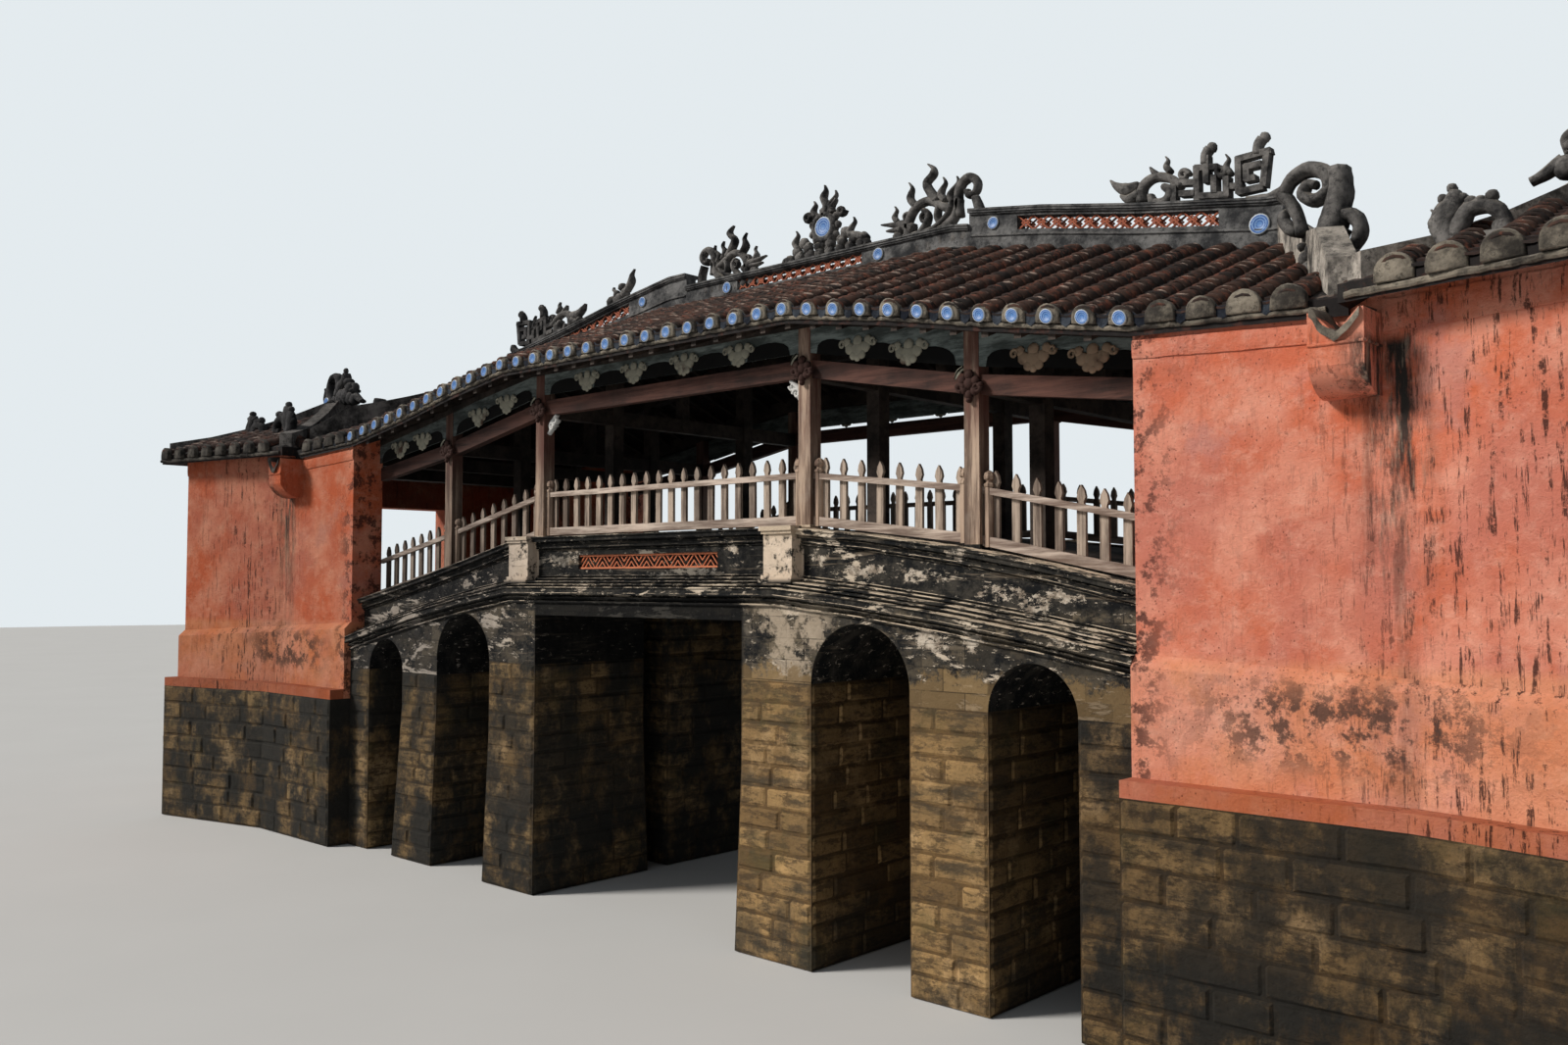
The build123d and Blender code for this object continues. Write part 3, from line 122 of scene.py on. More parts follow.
# Mesh gathering
class Shape:
    """Points and faces gathered for one piece, with a tint for each face."""

    def __init__(self):
        self.points = []
        self.faces = []
        self.tints = []
        self.flats = []

    def add(self, points, faces, tint=None, flat=None):
        """Add faces with one tint, random if none is given; flat holds places on a plate."""
        if tint is None:
            tint = random.random()
        base = len(self.points)
        self.points.extend(points)
        for face in faces:
            self.faces.append([base + index for index in face])
            self.tints.append(tint)
            self.flats.append([flat[index] for index in face] if flat else [(0, 0)] * len(face))

    def build(self, name, material, slot, smooth=False):
        mesh = bpy.data.meshes.new(name)
        mesh.from_pydata([tuple(point) for point in self.points], [], self.faces)
        tint = mesh.color_attributes.new("tint", "FLOAT_COLOR", "CORNER")
        flat = mesh.uv_layers.new(name="flat")
        corner = 0
        for face, value, spots in zip(self.faces, self.tints, self.flats):
            for spot in spots:
                tint.data[corner].color = (value, value, value, 1)
                flat.data[corner].uv = spot
                corner += 1
        mesh.materials.append(material)
        if smooth:
            mesh.polygons.foreach_set("use_smooth", [True] * len(mesh.polygons))
        mesh.update()
        piece = bpy.data.objects.new(name, mesh)
        scene.collection.objects.link(piece)
        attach(piece, "root")
        return piece


def box_points(low, high):
    (a, b, c), (d, e, f) = low, high
    return [(a, b, c), (d, b, c), (d, e, c), (a, e, c), (a, b, f), (d, b, f), (d, e, f), (a, e, f)]


BOX_FACES = [(0, 3, 2, 1), (4, 5, 6, 7), (0, 1, 5, 4), (1, 2, 6, 5), (2, 3, 7, 6), (3, 0, 4, 7)]


def tube(rings, size, base=0):
    """Faces between closed rings of points that follow one another."""
    return [(low + step, low + (step + 1) % size, low + size + (step + 1) % size, low + size + step)
            for low in range(base, base + size * (rings - 1), size) for step in range(size)]


def sheet(rows, size):
    """Faces between open rows of points that follow one another."""
    return [(low + step, low + size + step, low + size + step + 1, low + step + 1)
            for low in range(0, size * (rows - 1), size) for step in range(size - 1)]


def slab(size):
    """Faces of an outline given twice, back and front."""
    faces = [tuple(range(size)), tuple(reversed(range(size, 2 * size)))]
    return faces + [(step, (step + 1) % size, (step + 1) % size + size, step + size) for step in range(size)]


# Sockets of the Mix node in its colour mode: share and two colours, and the result
MIX_SOCKETS, MIX_RESULT = (0, 6, 7), 2


# Node materials
class Shader:
    """Builds one procedural material; coats and shades are laid over its body colour."""

    def __init__(self, name, roughness=0.85, specular=0.3):
        self.material = bpy.data.materials.new(name)
        self.material.use_nodes = True
        self.tree = self.material.node_tree
        self.tree.nodes.clear()
        self.surface = self.node("BsdfPrincipled", Roughness=roughness, Specular_IOR_Level=specular)
        self.node("OutputMaterial", Surface=self.surface.outputs[0])
        self.place = self.node("TexCoord").outputs["Object"]
        self.x, self.y, self.z = self.node("SeparateXYZ", Vector=self.place).outputs
        normal = self.node("SeparateXYZ", Vector=self.node("NewGeometry").outputs["Normal"]).outputs
        self.up = normal[2]
        self.out = self.math("ABSOLUTE", normal[1])

    def put(self, socket, value):
        """Link a socket to another, or set its value."""
        if hasattr(value, "links"):
            self.tree.links.new(value, socket)
        elif isinstance(value, tuple) and socket.type == "RGBA":
            socket.default_value = (*value, 1)
        else:
            socket.default_value = value

    def node(self, kind, **values):
        """New node; its sockets are given by name, with underscores for spaces."""
        node = self.tree.nodes.new("ShaderNode" + kind)
        for name, value in values.items():
            self.put(node.inputs[name.replace("_", " ")], value)
        return node

    def stretch(self, scale, shift=(0, 0, 0)):
        return self.node("Mapping", Vector=self.place, Scale=scale, Location=shift).outputs[0]

    def noise(self, scale, detail=5, rough=0.6, where=None, warp=0):
        node = self.node("TexNoise", Vector=where or self.place, Scale=scale, Detail=detail, Roughness=rough,
                         Distortion=warp)
        return node.outputs["Fac"]

    def cells(self, scale, where):
        return self.node("TexVoronoi", Vector=where, Scale=scale).outputs["Distance"]

    def range(self, value, low, high, top=1, base=0):
        """From base at low to top at high, eased at both ends."""
        node = self.node("MapRange", Value=value, From_Min=low, From_Max=high, To_Min=base, To_Max=top)
        node.interpolation_type = "SMOOTHSTEP"
        return node.outputs["Result"]

    def math(self, kind, first, second=0):
        node = self.node("Math")
        node.operation = kind
        self.put(node.inputs[0], first)
        self.put(node.inputs[1], second)
        return node.outputs[0]

    def mix(self, share, first, second, kind="MIX"):
        node = self.node("Mix")
        node.data_type = "RGBA"
        node.blend_type = kind
        for socket, value in zip(MIX_SOCKETS, (share, first, second)):
            self.put(node.inputs[socket], value)
        return node.outputs[MIX_RESULT]

    def both(self, *shares):
        """Product of the shares."""
        product = shares[0]
        for share in shares[1:]:
            product = self.math("MULTIPLY", product, share)
        return product

    def off(self, value, middle):
        """Distance from the middle."""
        return self.math("ABSOLUTE", self.math("SUBTRACT", value, middle))

    def coat(self, share, color):
        """Lay a colour over the body where share is one."""
        self.body = self.mix(share, self.body, color)

    def shade(self, share, amount):
        """Multiply the body down towards amount where share is one."""
        self.body = self.mix(share, self.body, amount, "MULTIPLY")

    def ashlar(self, width, height):
        """Joints and one value for each stone, on the faces that look across the bridge."""
        face = self.node("CombineXYZ", X=self.x, Y=self.z).outputs[0]
        node = self.node("TexBrick", Vector=face, Scale=1, Brick_Width=width, Row_Height=height,
                         Mortar_Size=0.006,
                         Mortar_Smooth=0.3, Color1=(0, 0, 0), Color2=(1, 1, 1), Mortar=(0.5, 0.5, 0.5))
        return node.outputs["Fac"], node.outputs["Color"]

    def spot(self, x, z, wide, tall, ragged):
        """One ragged patch on the long faces."""
        u = self.math("DIVIDE", self.math("SUBTRACT", self.x, x), wide)
        w = self.math("DIVIDE", self.math("SUBTRACT", self.z, z), tall)
        span = self.math("ADD", self.both(u, u), self.both(w, w))
        return self.range(self.math("ADD", span, ragged), 1.15, 0.95)

    def tint(self):
        node = self.node("VertexColor")
        node.layer_name = "tint"
        return node.outputs["Color"]

    def flat(self):
        node = self.node("UVMap")
        node.uv_map = "flat"
        return node.outputs[0]

    def bump(self, height, strength=0.5, distance=0.01):
        """Add relief on top of what the surface has."""
        node = self.node("Bump", Strength=strength, Distance=distance, Height=height)
        normal = self.surface.inputs["Normal"]
        if normal.links:
            self.put(node.inputs["Normal"], normal.links[0].from_socket)
        self.put(normal, node.outputs[0])

    def finish(self):
        self.put(self.surface.inputs["Base Color"], self.body)
        return self.material


def pier_stone(name, dark):
    """Rough-faced sandstone, blacker to the left and at the foot, with painted shade to the left and on the
    faces that look along the bridge; dark is how far damp has taken it.
    """
    s = Shader(name, 0.92, 0.2)
    s.body = s.mix(s.tint(), (0.17, 0.1, 0.04), (0.52, 0.33, 0.14))
    s.coat(s.range(s.noise(1.3, 7, 0.68), 0.52, 0.68, 0.8), (0.62, 0.41, 0.2))
    grain = s.noise(38, 6, 0.7)
    s.coat(s.range(grain, 0.48, 0.78, 0.7), (0.085, 0.06, 0.03))
    rock = s.noise(6.5, 9, 0.75, s.stretch((0.55, 0.55, 1.5)))
    s.coat(s.range(rock, 0.49, 0.56, 0.8), s.mix(s.noise(21, 6, 0.7), (0.05, 0.032, 0.016),
                                                 (0.17, 0.105, 0.05)))
    bands = s.noise(2.6, 7, 0.72, s.stretch((0.45, 0.45, 2.2)))
    s.coat(s.range(bands, 0.5, 0.66, 0.75), (0.07, 0.055, 0.035))
    moss = s.noise(1.7, 6, 0.6, s.stretch((1, 1, 1), (5, 2, 9)))
    s.coat(s.range(moss, 0.52, 0.7, 0.55), (0.085, 0.075, 0.03))
    soot = s.noise(2.1, 8, 0.7, s.stretch((1, 1, 0.7)))
    low = s.range(s.z, 0, 1.1, 0, 0.6)
    high = s.range(s.z, 2.1, 3.1, 0.6)
    left = s.range(s.x, 1, -1.6, 0.75, 0.1)
    reach = s.math("ADD", s.math("ADD", low, high), s.math("ADD", left, dark))
    reach = s.math("MINIMUM", reach, 0.97)
    black = s.mix(s.noise(9, 5, 0.7), (0.013, 0.013, 0.011), (0.05, 0.047, 0.038))
    s.coat(s.both(s.range(soot, 0.36, 0.56), reach), black)
    # painted shade: the stone darker towards the left end, which stands in shade
    s.shade(s.range(s.x, 0.6, -1.4), (0.52, 0.54, 0.58))
    s.shade(s.range(s.x, 5, 5.5), (0.5, 0.5, 0.52))
    # painted shade: faces that look along the bridge, right of the middle, darker as in the shade under the
    # arches
    s.shade(s.both(s.range(s.out, 0.5, 0.2), s.range(s.x, 0.4, 1.4)), (0.58, 0.56, 0.52))
    s.bump(rock, -1, 0.06)
    s.bump(s.noise(14, 8, 0.75), 1, 0.035)
    s.bump(grain, 0.7, 0.01)
    return s.finish()


# Places on the long faces where the photo shows the mildewed coat fallen off: x, z, half width, half height
FALLEN_PLASTER = (
    (2.55, 3.85, 0.1, 0.08), (3.8, 3.67, 0.25, 0.05), (4.6, 3.52, 0.18, 0.06), (4.95, 3.4, 0.16, 0.09),
    (5.2, 3.5, 0.13, 0.06),
    (4, 3.1, 0.16, 0.08), (4.45, 3.1, 0.16, 0.09), (5.4, 3.13, 0.2, 0.03), (1, 3.7, 0.16, 0.05),
    (1.38, 3.95, 0.09, 0.07),
    (-1.4, 3.88, 0.22, 0.09), (0.3, 3.68, 0.14, 0.04), (3.1, 3.72, 0.2, 0.05), (4.2, 3.85, 0.12, 0.05),
)


def mildewed_render(name, cream_level):
    """Render blackened by mildew over ashlar, peeled in patches, tan on ledges partly as a painted highlight
    on their tops, pale on the pedestals, with painted shade to the left.
    """
    s = Shader(name, 0.9, 0.2)
    side = s.math("ABSOLUTE", s.x)
    front = s.range(s.out, 0.5, 0.8)
    dark = s.mix(s.range(s.noise(5, 8, 0.75), 0.42, 0.64), (0.004, 0.005, 0.006), (0.05, 0.045, 0.037))
    bands = s.noise(2.4, 8, 0.74, s.stretch((0.25, 0.25, 4.2)))
    dark = s.mix(s.range(bands, 0.57, 0.64, 0.75), dark, (0.17, 0.135, 0.098))
    joints, stone = s.ashlar(0.46, 0.205)
    wall = s.both(s.range(s.z, 3.4, 3.32), s.range(s.out, 0.6, 0.8))
    mossy = s.range(s.noise(2.4, 9, 0.75, s.stretch((1, 1, 1.6), (4, 1, 7))), 0.44, 0.58)
    block = s.mix(stone, (0.03, 0.026, 0.02), (0.17, 0.135, 0.09))
    dark = s.mix(s.both(wall, mossy, 0.85), dark, block)
    lime = s.mix(s.noise(9, 5, 0.6), (0.78, 0.68, 0.55), (0.36, 0.28, 0.2))
    patches = s.noise(1.7, 9, 0.72, s.stretch((0.7, 0.7, 2.4), (3.1, 1, 5.3)), 0.5)
    peeled = s.both(s.range(patches, cream_level, cream_level + 0.02), front)
    s.body = s.mix(peeled, dark, lime)
    flecks = s.range(s.noise(13, 8, 0.78, s.stretch((0.6, 0.6, 1.8))), 0.59, 0.63, 0.9)
    s.coat(flecks, (0.62, 0.53, 0.42))
    around = s.off(s.x, 2.35)
    crack = s.both(s.range(around, 0.3, 0.7, 0, 1), s.range(s.z, 2.5, 2.75), s.range(s.z, 3.44, 3.36),
                   s.range(s.noise(2.8, 9, 0.75), 0.44, 0.52), front, 0.9)
    s.coat(crack, s.mix(s.noise(7, 6, 0.7), (0.52, 0.43, 0.33), (0.24, 0.19, 0.13)))
    pedestal = s.both(s.range(s.off(side, PEDESTAL), 0.215, 0.225, 0, 1), s.range(s.z, 3.6, 3.66),
                      s.range(s.noise(6, 8, 0.75), 0.4, 0.5), 0.95)
    s.coat(pedestal, s.mix(s.noise(10, 5, 0.6), (0.84, 0.7, 0.56), (0.52, 0.41, 0.3)))
    springing = s.both(s.range(s.math("ADD", s.z, s.both(s.noise(3.5, 8, 0.78), 0.9)), 3.28, 3.2),
                       s.range(s.x, 0.8, 1.4), s.range(s.out, 0.6, 0.8, 0.85))
    s.coat(springing, s.mix(stone, (0.09, 0.058, 0.027), (0.3, 0.2, 0.092)))
    ragged = s.both(s.math("SUBTRACT", s.noise(8, 9, 0.8, s.stretch((1, 1, 1.6))), 0.47), 18)
    fallen = 0
    for x, z, wide, tall in FALLEN_PLASTER:
        fallen = s.math("MAXIMUM", fallen, s.spot(x, z, wide, tall, ragged))
    fallen = s.both(fallen, s.range(s.out, 0.5, 0.8, 0.9))
    s.coat(fallen, s.mix(s.range(s.noise(11, 7, 0.7), 0.4, 0.6), (0.62, 0.54, 0.44), (0.26, 0.21, 0.16)))
    # tan on the ledges, partly a painted highlight on the faces that look up
    ledge = s.both(s.range(s.up, 0.3, 0.8), s.range(s.noise(3.5, 8, 0.75), 0.46, 0.54))
    s.coat(ledge, (0.66, 0.54, 0.4))
    nosing = s.both(s.range(s.z, 4.03, 4.08), s.range(s.noise(3.4, 9, 0.76, s.stretch((0.5, 1, 1))), 0.48,
                                                      0.54))
    s.coat(s.both(nosing, s.range(side, 1.9, 1.96)), (0.52, 0.42, 0.31))
    s.shade(s.both(joints, wall, s.range(s.noise(3, 6, 0.7), 0.42, 0.6, 0.9, 0.15)), (0.3, 0.3, 0.3))
    under = s.both(s.range(side, 1.75, 1.68), s.range(s.z, 3.48, 3.44))
    s.shade(under, (0.06, 0.066, 0.072))
    panel = s.both(s.range(side, 1.92, 1.88), s.range(s.noise(1.9, 7, 0.7), 0.6, 0.52))
    s.shade(s.both(panel, s.range(s.z, 3.56, 3.62)), (0.34, 0.36, 0.38))
    # painted shade: darker towards the left end, which stands in shade
    s.shade(s.range(s.x, -1.2, -3), (0.5, 0.52, 0.57))
    s.bump(peeled, 0.6, 0.015)
    s.bump(joints, -0.7, 0.012)
    s.bump(s.noise(22, 8, 0.75), 1, 0.018)
    return s.finish()


def limewash(name, plain=False):
    """Salmon limewash, mottled and pitted, with rain streaks, drips under the spouts and a mildewed foot, and
    painted shade towards both ends.
    """
    s = Shader(name, 0.93, 0.15)
    side = s.math("ABSOLUTE", s.x)
    clouds = s.noise(0.55, 5, 0.55)
    s.body = s.mix(s.range(clouds, 0.38, 0.62), (0.66, 0.155, 0.07), (0.6, 0.2, 0.14))
    rust = s.noise(1.1, 7, 0.62, s.stretch((1, 1, 0.6), (7, 3, 4)))
    s.coat(s.range(rust, 0.52, 0.7, 0.6), (0.6, 0.125, 0.04))
    worn = s.noise(1.7, 7, 0.6, s.stretch((1, 1, 1), (3, 8, 2)))
    s.coat(s.range(worn, 0.42, 0.68, 0.85), (0.8, 0.34, 0.235))
    scuffed = s.noise(4.3, 9, 0.74, s.stretch((1, 1, 1.4), (2, 6, 1)))
    s.coat(s.range(scuffed, 0.46, 0.74, 0.5), (0.86, 0.48, 0.36))
    bare = s.noise(0.9, 8, 0.66, s.stretch((1, 1, 1), (9, 1, 5)))
    s.coat(s.range(bare, 0.57, 0.68, 0.5), (0.52, 0.25, 0.22))
    low = s.both(s.range(s.z, 3.1, 2.98), 0.45)
    s.coat(low, s.mix(s.range(s.noise(1.2, 7, 0.65), 0.42, 0.6), (0.8, 0.36, 0.17), (0.84, 0.44, 0.31)))
    specks = s.noise(24, 7, 0.75)
    s.coat(s.range(specks, 0.56, 0.7, 0.7), (0.32, 0.085, 0.05))
    pits = s.both(s.range(s.cells(26, s.stretch((1, 1, 0.8))), 0.2, 0.1),
                  s.range(s.noise(2.2, 6, 0.7), 0.5, 0.58))
    s.coat(s.both(pits, 0.8), (0.16, 0.045, 0.03))
    streaks = s.noise(9, 8, 0.76, s.stretch((2.2, 2.2, 0.22)))
    broken = s.noise(5, 9, 0.78)
    near_spout = s.range(s.off(side, 8.6), 0.2, 1.7, 0.14, 1)
    streak = s.both(s.range(streaks, 0.53, 0.58), s.range(broken, 0.44, 0.52))
    s.coat(s.both(streak, near_spout, 0.9), (0.05, 0.02, 0.016))
    if not plain:
        trail = s.range(s.off(side, 7.88), 0.06, 0.32, 0, 1)
        ragged = s.range(s.noise(4, 9, 0.75, s.stretch((2.4, 2.4, 0.35))), 0.4, 0.56)
        below = s.range(s.z, 2.9, 4.9, 1, 0.25)
        drip = s.both(trail, ragged, below)
        soot = s.mix(s.range(s.noise(8, 7, 0.7, s.stretch((2.5, 2.5, 0.3))), 0.5, 0.62), (0.035, 0.033, 0.03),
                     (0.24, 0.2, 0.155))
        s.coat(s.both(drip, s.range(s.z, 5.3, 5.2)), soot)
        edge = s.range(side, 5.97, 6.45, 0, 1)
        mould = s.both(s.range(s.noise(5.5, 9, 0.75), 0.5, 0.58), edge)
        s.coat(s.both(mould, 0.85), (0.06, 0.025, 0.022))
        near_foot = s.range(s.off(s.z, 2.62), 0.1, 0.45, 0, 1)
        patch = s.range(s.off(side, 7.55), 0.5, 1.3, 0.15, 1)
        foot = s.both(near_foot, patch, s.range(s.noise(4.2, 9, 0.78), 0.47, 0.55))
        s.coat(s.both(foot, 0.9), (0.085, 0.05, 0.04))
    # painted shade: the far right ends of the walls darker and cooler
    s.shade(s.range(s.x, 8.6, 10.2), (0.8, 0.86, 0.95))
    # painted shade: the left walls darker, as they stand in shade
    s.shade(s.range(s.x, -5.5, -6.2), (0.6, 0.56, 0.5))
    if plain:
        s.shade(1, (0.66, 0.52, 0.46))
    s.bump(s.noise(3.5, 6, 0.6), 0.6, 0.06)
    s.bump(s.noise(9, 9, 0.8), 0.8, 0.03)
    s.bump(s.noise(32, 8, 0.75), 0.9, 0.014)
    s.bump(pits, -0.5, 0.01)
    return s.finish()


def timber(name, stretch, light, dark, red=0, gloss=0.8, high_red=False):
    """Old timber, grained along one axis, with painted shade to the left; red is how much stain is left,
    high_red keeps it near the eaves.
    """
    s = Shader(name, gloss, 0.25)
    grain = s.noise(9, 8, 0.7, s.stretch(stretch))
    fine = s.noise(34, 6, 0.7, s.stretch(stretch))
    s.body = s.mix(s.range(grain, 0.38, 0.62), dark, light)
    s.coat(s.range(fine, 0.5, 0.68, 0.8), dark)
    if red:
        stain = s.both(s.range(s.noise(1.4, 5, 0.6), 0.35, 0.6), red)
        s.coat(stain, (0.15, 0.055, 0.038))
    weather = s.range(s.noise(2.6, 6, 0.65), 0.5, 0.7, 0.25)
    s.coat(weather, (min(0.36, light[0]), min(0.31, light[1]), min(0.26, light[2])))
    if high_red:
        stained = s.both(s.range(s.z, 4.7, 5.25), s.range(s.noise(6, 8, 0.7, s.stretch(stretch)), 0.32, 0.52))
        s.coat(s.both(stained, 0.85), (0.1, 0.036, 0.026))
    # painted shade: darker towards the left end, which stands in shade
    s.shade(s.range(s.x, -0.5, -4.5), (0.55, 0.55, 0.56))
    s.bump(fine, 0.7, 0.006)
    s.bump(grain, 0.6, 0.008)
    return s.finish()


def tile_clay(name, base, lichen_and_highlight):
    """Sooty tile clay, each tile a little different, with red flecks, a painted highlight on the crowns and
    painted shade to the left.
    """
    s = Shader(name, 0.85, 0.25)
    s.body = s.mix(s.tint(), base, (base[0] * 4, base[1] * 2.8, base[2] * 2.2))
    s.coat(s.range(s.noise(7, 6, 0.7), 0.45, 0.7), (0.017, 0.015, 0.014))
    s.coat(s.range(s.noise(8, 7, 0.75, s.stretch((1, 1, 1), (3, 7, 1))), 0.52, 0.62, lichen_and_highlight),
           (0.16, 0.052, 0.031))
    # painted highlight: pale patches on the tile faces that look up towards the light
    crown_highlight = s.both(s.range(s.up, 0.38, 0.72), s.range(s.noise(4.2, 8, 0.78), 0.52, 0.6))
    s.coat(s.both(crown_highlight, lichen_and_highlight), (0.46, 0.35, 0.285))
    # painted shade: darker towards the left end, which stands in shade
    s.shade(s.range(s.x, -2, -6), (0.6, 0.6, 0.62))
    s.bump(s.noise(30, 7, 0.7), 0.6, 0.008)
    return s.finish()


def mortar(name, dark, light):
    """Weathered lime mortar, black in the hollows and grey where it is rubbed, with painted shade at the left
    end.
    """
    s = Shader(name, 0.93, 0.15)
    s.body = s.mix(s.range(s.noise(3.4, 9, 0.7), 0.36, 0.66), dark, light)
    top = s.both(s.range(s.up, 0.3, 0.9), s.range(s.noise(6, 6, 0.7), 0.4, 0.6))
    s.coat(s.both(top, 0.6), (0.3, 0.27, 0.23))
    s.coat(s.range(s.noise(17, 8, 0.78), 0.53, 0.62, 0.7), dark)
    # painted shade: much darker at the left end, where the ornaments stand in shade
    s.shade(s.range(s.x, -4.5, -6.2), (0.36, 0.37, 0.4))
    s.bump(s.noise(12, 8, 0.75), 0.8, 0.025)
    s.bump(s.noise(45, 6, 0.7), 0.5, 0.006)
    return s.finish()


def glazed_plate(name):
    """Blue and white plate, painted in rings about its centre."""
    s = Shader(name, 0.4, 0.3)
    centre = s.flat()
    span = s.node("VectorMath", Vector=centre)
    span.operation = "LENGTH"
    radius = span.outputs["Value"]
    petals = s.cells(5, centre)
    rings = s.math("SINE", s.both(radius, 26))
    pattern = s.both(s.range(rings, -0.2, 0.4), s.range(petals, 0.25, 0.45))
    s.body = s.mix(pattern, (0.14, 0.26, 0.48), (0.016, 0.075, 0.29))
    s.coat(s.range(radius, 0.86, 0.92), (0.44, 0.47, 0.48))
    s.coat(s.range(radius, 0.3, 0.24), (0.08, 0.2, 0.45))
    return s.finish()


def plain_clay(name, first, second, scale=12):
    """Clay, paving or paint mottled between two colours, with dirt in places."""
    s = Shader(name, 0.85, 0.25)
    s.body = s.mix(s.noise(scale, 6, 0.65), first, second)
    s.coat(s.range(s.noise(4, 6, 0.6), 0.55, 0.72), (0.06, 0.035, 0.025))
    s.bump(s.noise(40, 6, 0.7), 0.4, 0.005)
    return s.finish()


STONE = pier_stone("ochre stone", 0.12)
STONE_DAMP = pier_stone("damp stone", 0.75)
RENDER = mildewed_render("mildewed render", 0.567)
WALL = limewash("salmon limewash")
CURB = limewash("red curb", True)
POST_WOOD = timber("upright timber", (1, 1, 0.07), (0.47, 0.35, 0.26), (0.1, 0.066, 0.048), 0.1, 0.8, True)
RAIL_WOOD = timber("rail timber", (0.07, 1, 1), (0.6, 0.5, 0.42), (0.16, 0.115, 0.09), 0.1)
PICKET_WOOD = timber("picket timber", (1, 1, 0.07), (0.45, 0.36, 0.285), (0.11, 0.08, 0.062))
BEAM_WOOD = timber("worn red beam", (0.07, 1, 1), (0.1, 0.046, 0.034), (0.012, 0.007, 0.006), 0.25)
DARK_WOOD = timber("dark timber", (0.3, 0.3, 0.3), (0.06, 0.045, 0.036), (0.015, 0.011, 0.009))
FRIEZE_WOOD = timber("grey-green board", (0.2, 1, 1), (0.19, 0.225, 0.215), (0.045, 0.055, 0.052))
TILE = tile_clay("brown tile", (0.017, 0.012, 0.0105), 0.7)
PAN = tile_clay("dark pan tile", (0.008, 0.006, 0.006), 0.25)
MORTAR = mortar("grey mortar", (0.016, 0.016, 0.016), (0.15, 0.14, 0.13))
RIDGE_MORTAR = mortar("ridge mortar", (0.026, 0.027, 0.029), (0.18, 0.178, 0.175))
HIP_MORTAR = mortar("rubbed mortar", (0.05, 0.046, 0.042), (0.52, 0.47, 0.41))
CARVED = mortar("carved mortar", (0.02, 0.02, 0.021), (0.2, 0.19, 0.18))
CAP_MORTAR = mortar("tan mortar", (0.035, 0.031, 0.027), (0.27, 0.235, 0.185))
PLATE = glazed_plate("blue and white plate")
LATTICE = plain_clay("terracotta", (0.42, 0.11, 0.05), (0.6, 0.22, 0.11))
PAVING = plain_clay("worn paving", (0.24, 0.21, 0.18), (0.36, 0.32, 0.28))

DRESS = (
    (STONE, "main_piers small_piers"),
    (STONE_DAMP, "middle_piers middle_tie_beam right_abutment left_abutment"),
    (RENDER, "right_arches left_arches lintels parapets"),
    (LATTICE, "parapet_lattices"),
    (DARK_WOOD, "center_girders side_girders center_deck side_decks inner_posts tie_beams king_posts "
                "wall_plates inner_purlins ridge_purlin valley_beams"),
    (POST_WOOD, "outer_posts"),
    (BEAM_WOOD, "eave_beams"),
    (FRIEZE_WOOD, "friezes"),
    (RAIL_WOOD, "front_railings back_railings"),
    (PICKET_WOOD, "front_pickets back_pickets"),
    (HIP_MORTAR, "hip_ridges gate_ridges"),
    (RIDGE_MORTAR, "center_ridge side_ridges"),
    (PAN, "front_roof_slope back_roof_slope hip_slopes right_gate_roof left_gate_roof"),
    (WALL, "right_side_walls left_side_walls right_gate_wall left_gate_wall rain_spouts"),
    (CURB, "wall_curbs"),
    (PAVING, "right_ramp left_ramp"),
)
dress = {name: material for material, names in DRESS for name in names.split()}
for name, node in nodes.items():
    material = dress.get(name, MORTAR)
    if not node.data.materials:
        node.data.materials.append(material)
    for place in node.material_slots:
        place.material = material


# Roof tiles: rounded cover tiles in overlapping courses, with dished pans between the columns
COURSE = 0.135
COVER = 0.1


def cover_run(shape, spot, along, start, end, radius=COVER):
    """Column of cover tiles; spot(run) gives the roof surface at a distance down the slope."""
    count = max(1, round((end - start) / COURSE))
    for index in range(count):
        head = start + (end - start) * index / count
        foot = start + (end - start) * (index + 1) / count + 0.02
        top, low = Vector(spot(head)), Vector(spot(foot))
        down = (low - top).normalized()
        out = along.cross(down).normalized()
        if out.z < 0:
            out = -out
        sway = along * random.uniform(-0.006, 0.006)
        lift = random.uniform(0, 0.006)
        points = []
        lift += 0.012
        for centre, size, rise in ((top, radius * 0.9, 0), (low, radius, lift), (low, radius * 0.82, lift)):
            for step in range(7):
                turn = pi * step / 6
                points.append(centre + sway + along * (size * cos(turn)) + out * (size * sin(turn) + rise))
        shape.add(points, sheet(3, 7))


def pan_run(shape, spot, along, start, end, width):
    """Column of dished pan tiles between two columns of covers."""
    count = max(1, round((end - start) / COURSE))
    for index in range(count):
        head = start + (end - start) * index / count
        foot = start + (end - start) * (index + 1) / count + 0.015
        top, low = Vector(spot(head)), Vector(spot(foot))
        points = []
        for centre, rise in ((top, 0.012), (low, 0.03), (low, 0.012)):
            for step in range(5):
                across = (step / 4 - 0.5) * width
                dish = 0.05 * (2 * step / 4 - 1) ** 2
                points.append(centre + along * across + Vector((0, 0, rise + dish)))
        shape.add(points, sheet(3, 5))


def column_places():
    """Places of the tile columns along the bridge, closer over the middle bay."""
    places = [-2.33 + 4.66 * index / 14 for index in range(15)]
    pitch = (5.9 - 2.33) / 11
    for index in range(1, 17):
        places += [2.33 + pitch * index, -2.33 - pitch * index]
    return sorted(place for place in places if abs(place) < VALLEY - 0.12)


COLUMNS = column_places()
GAPS = [((first + second) / 2, second - first) for first, second in zip(COLUMNS, COLUMNS[1:])]


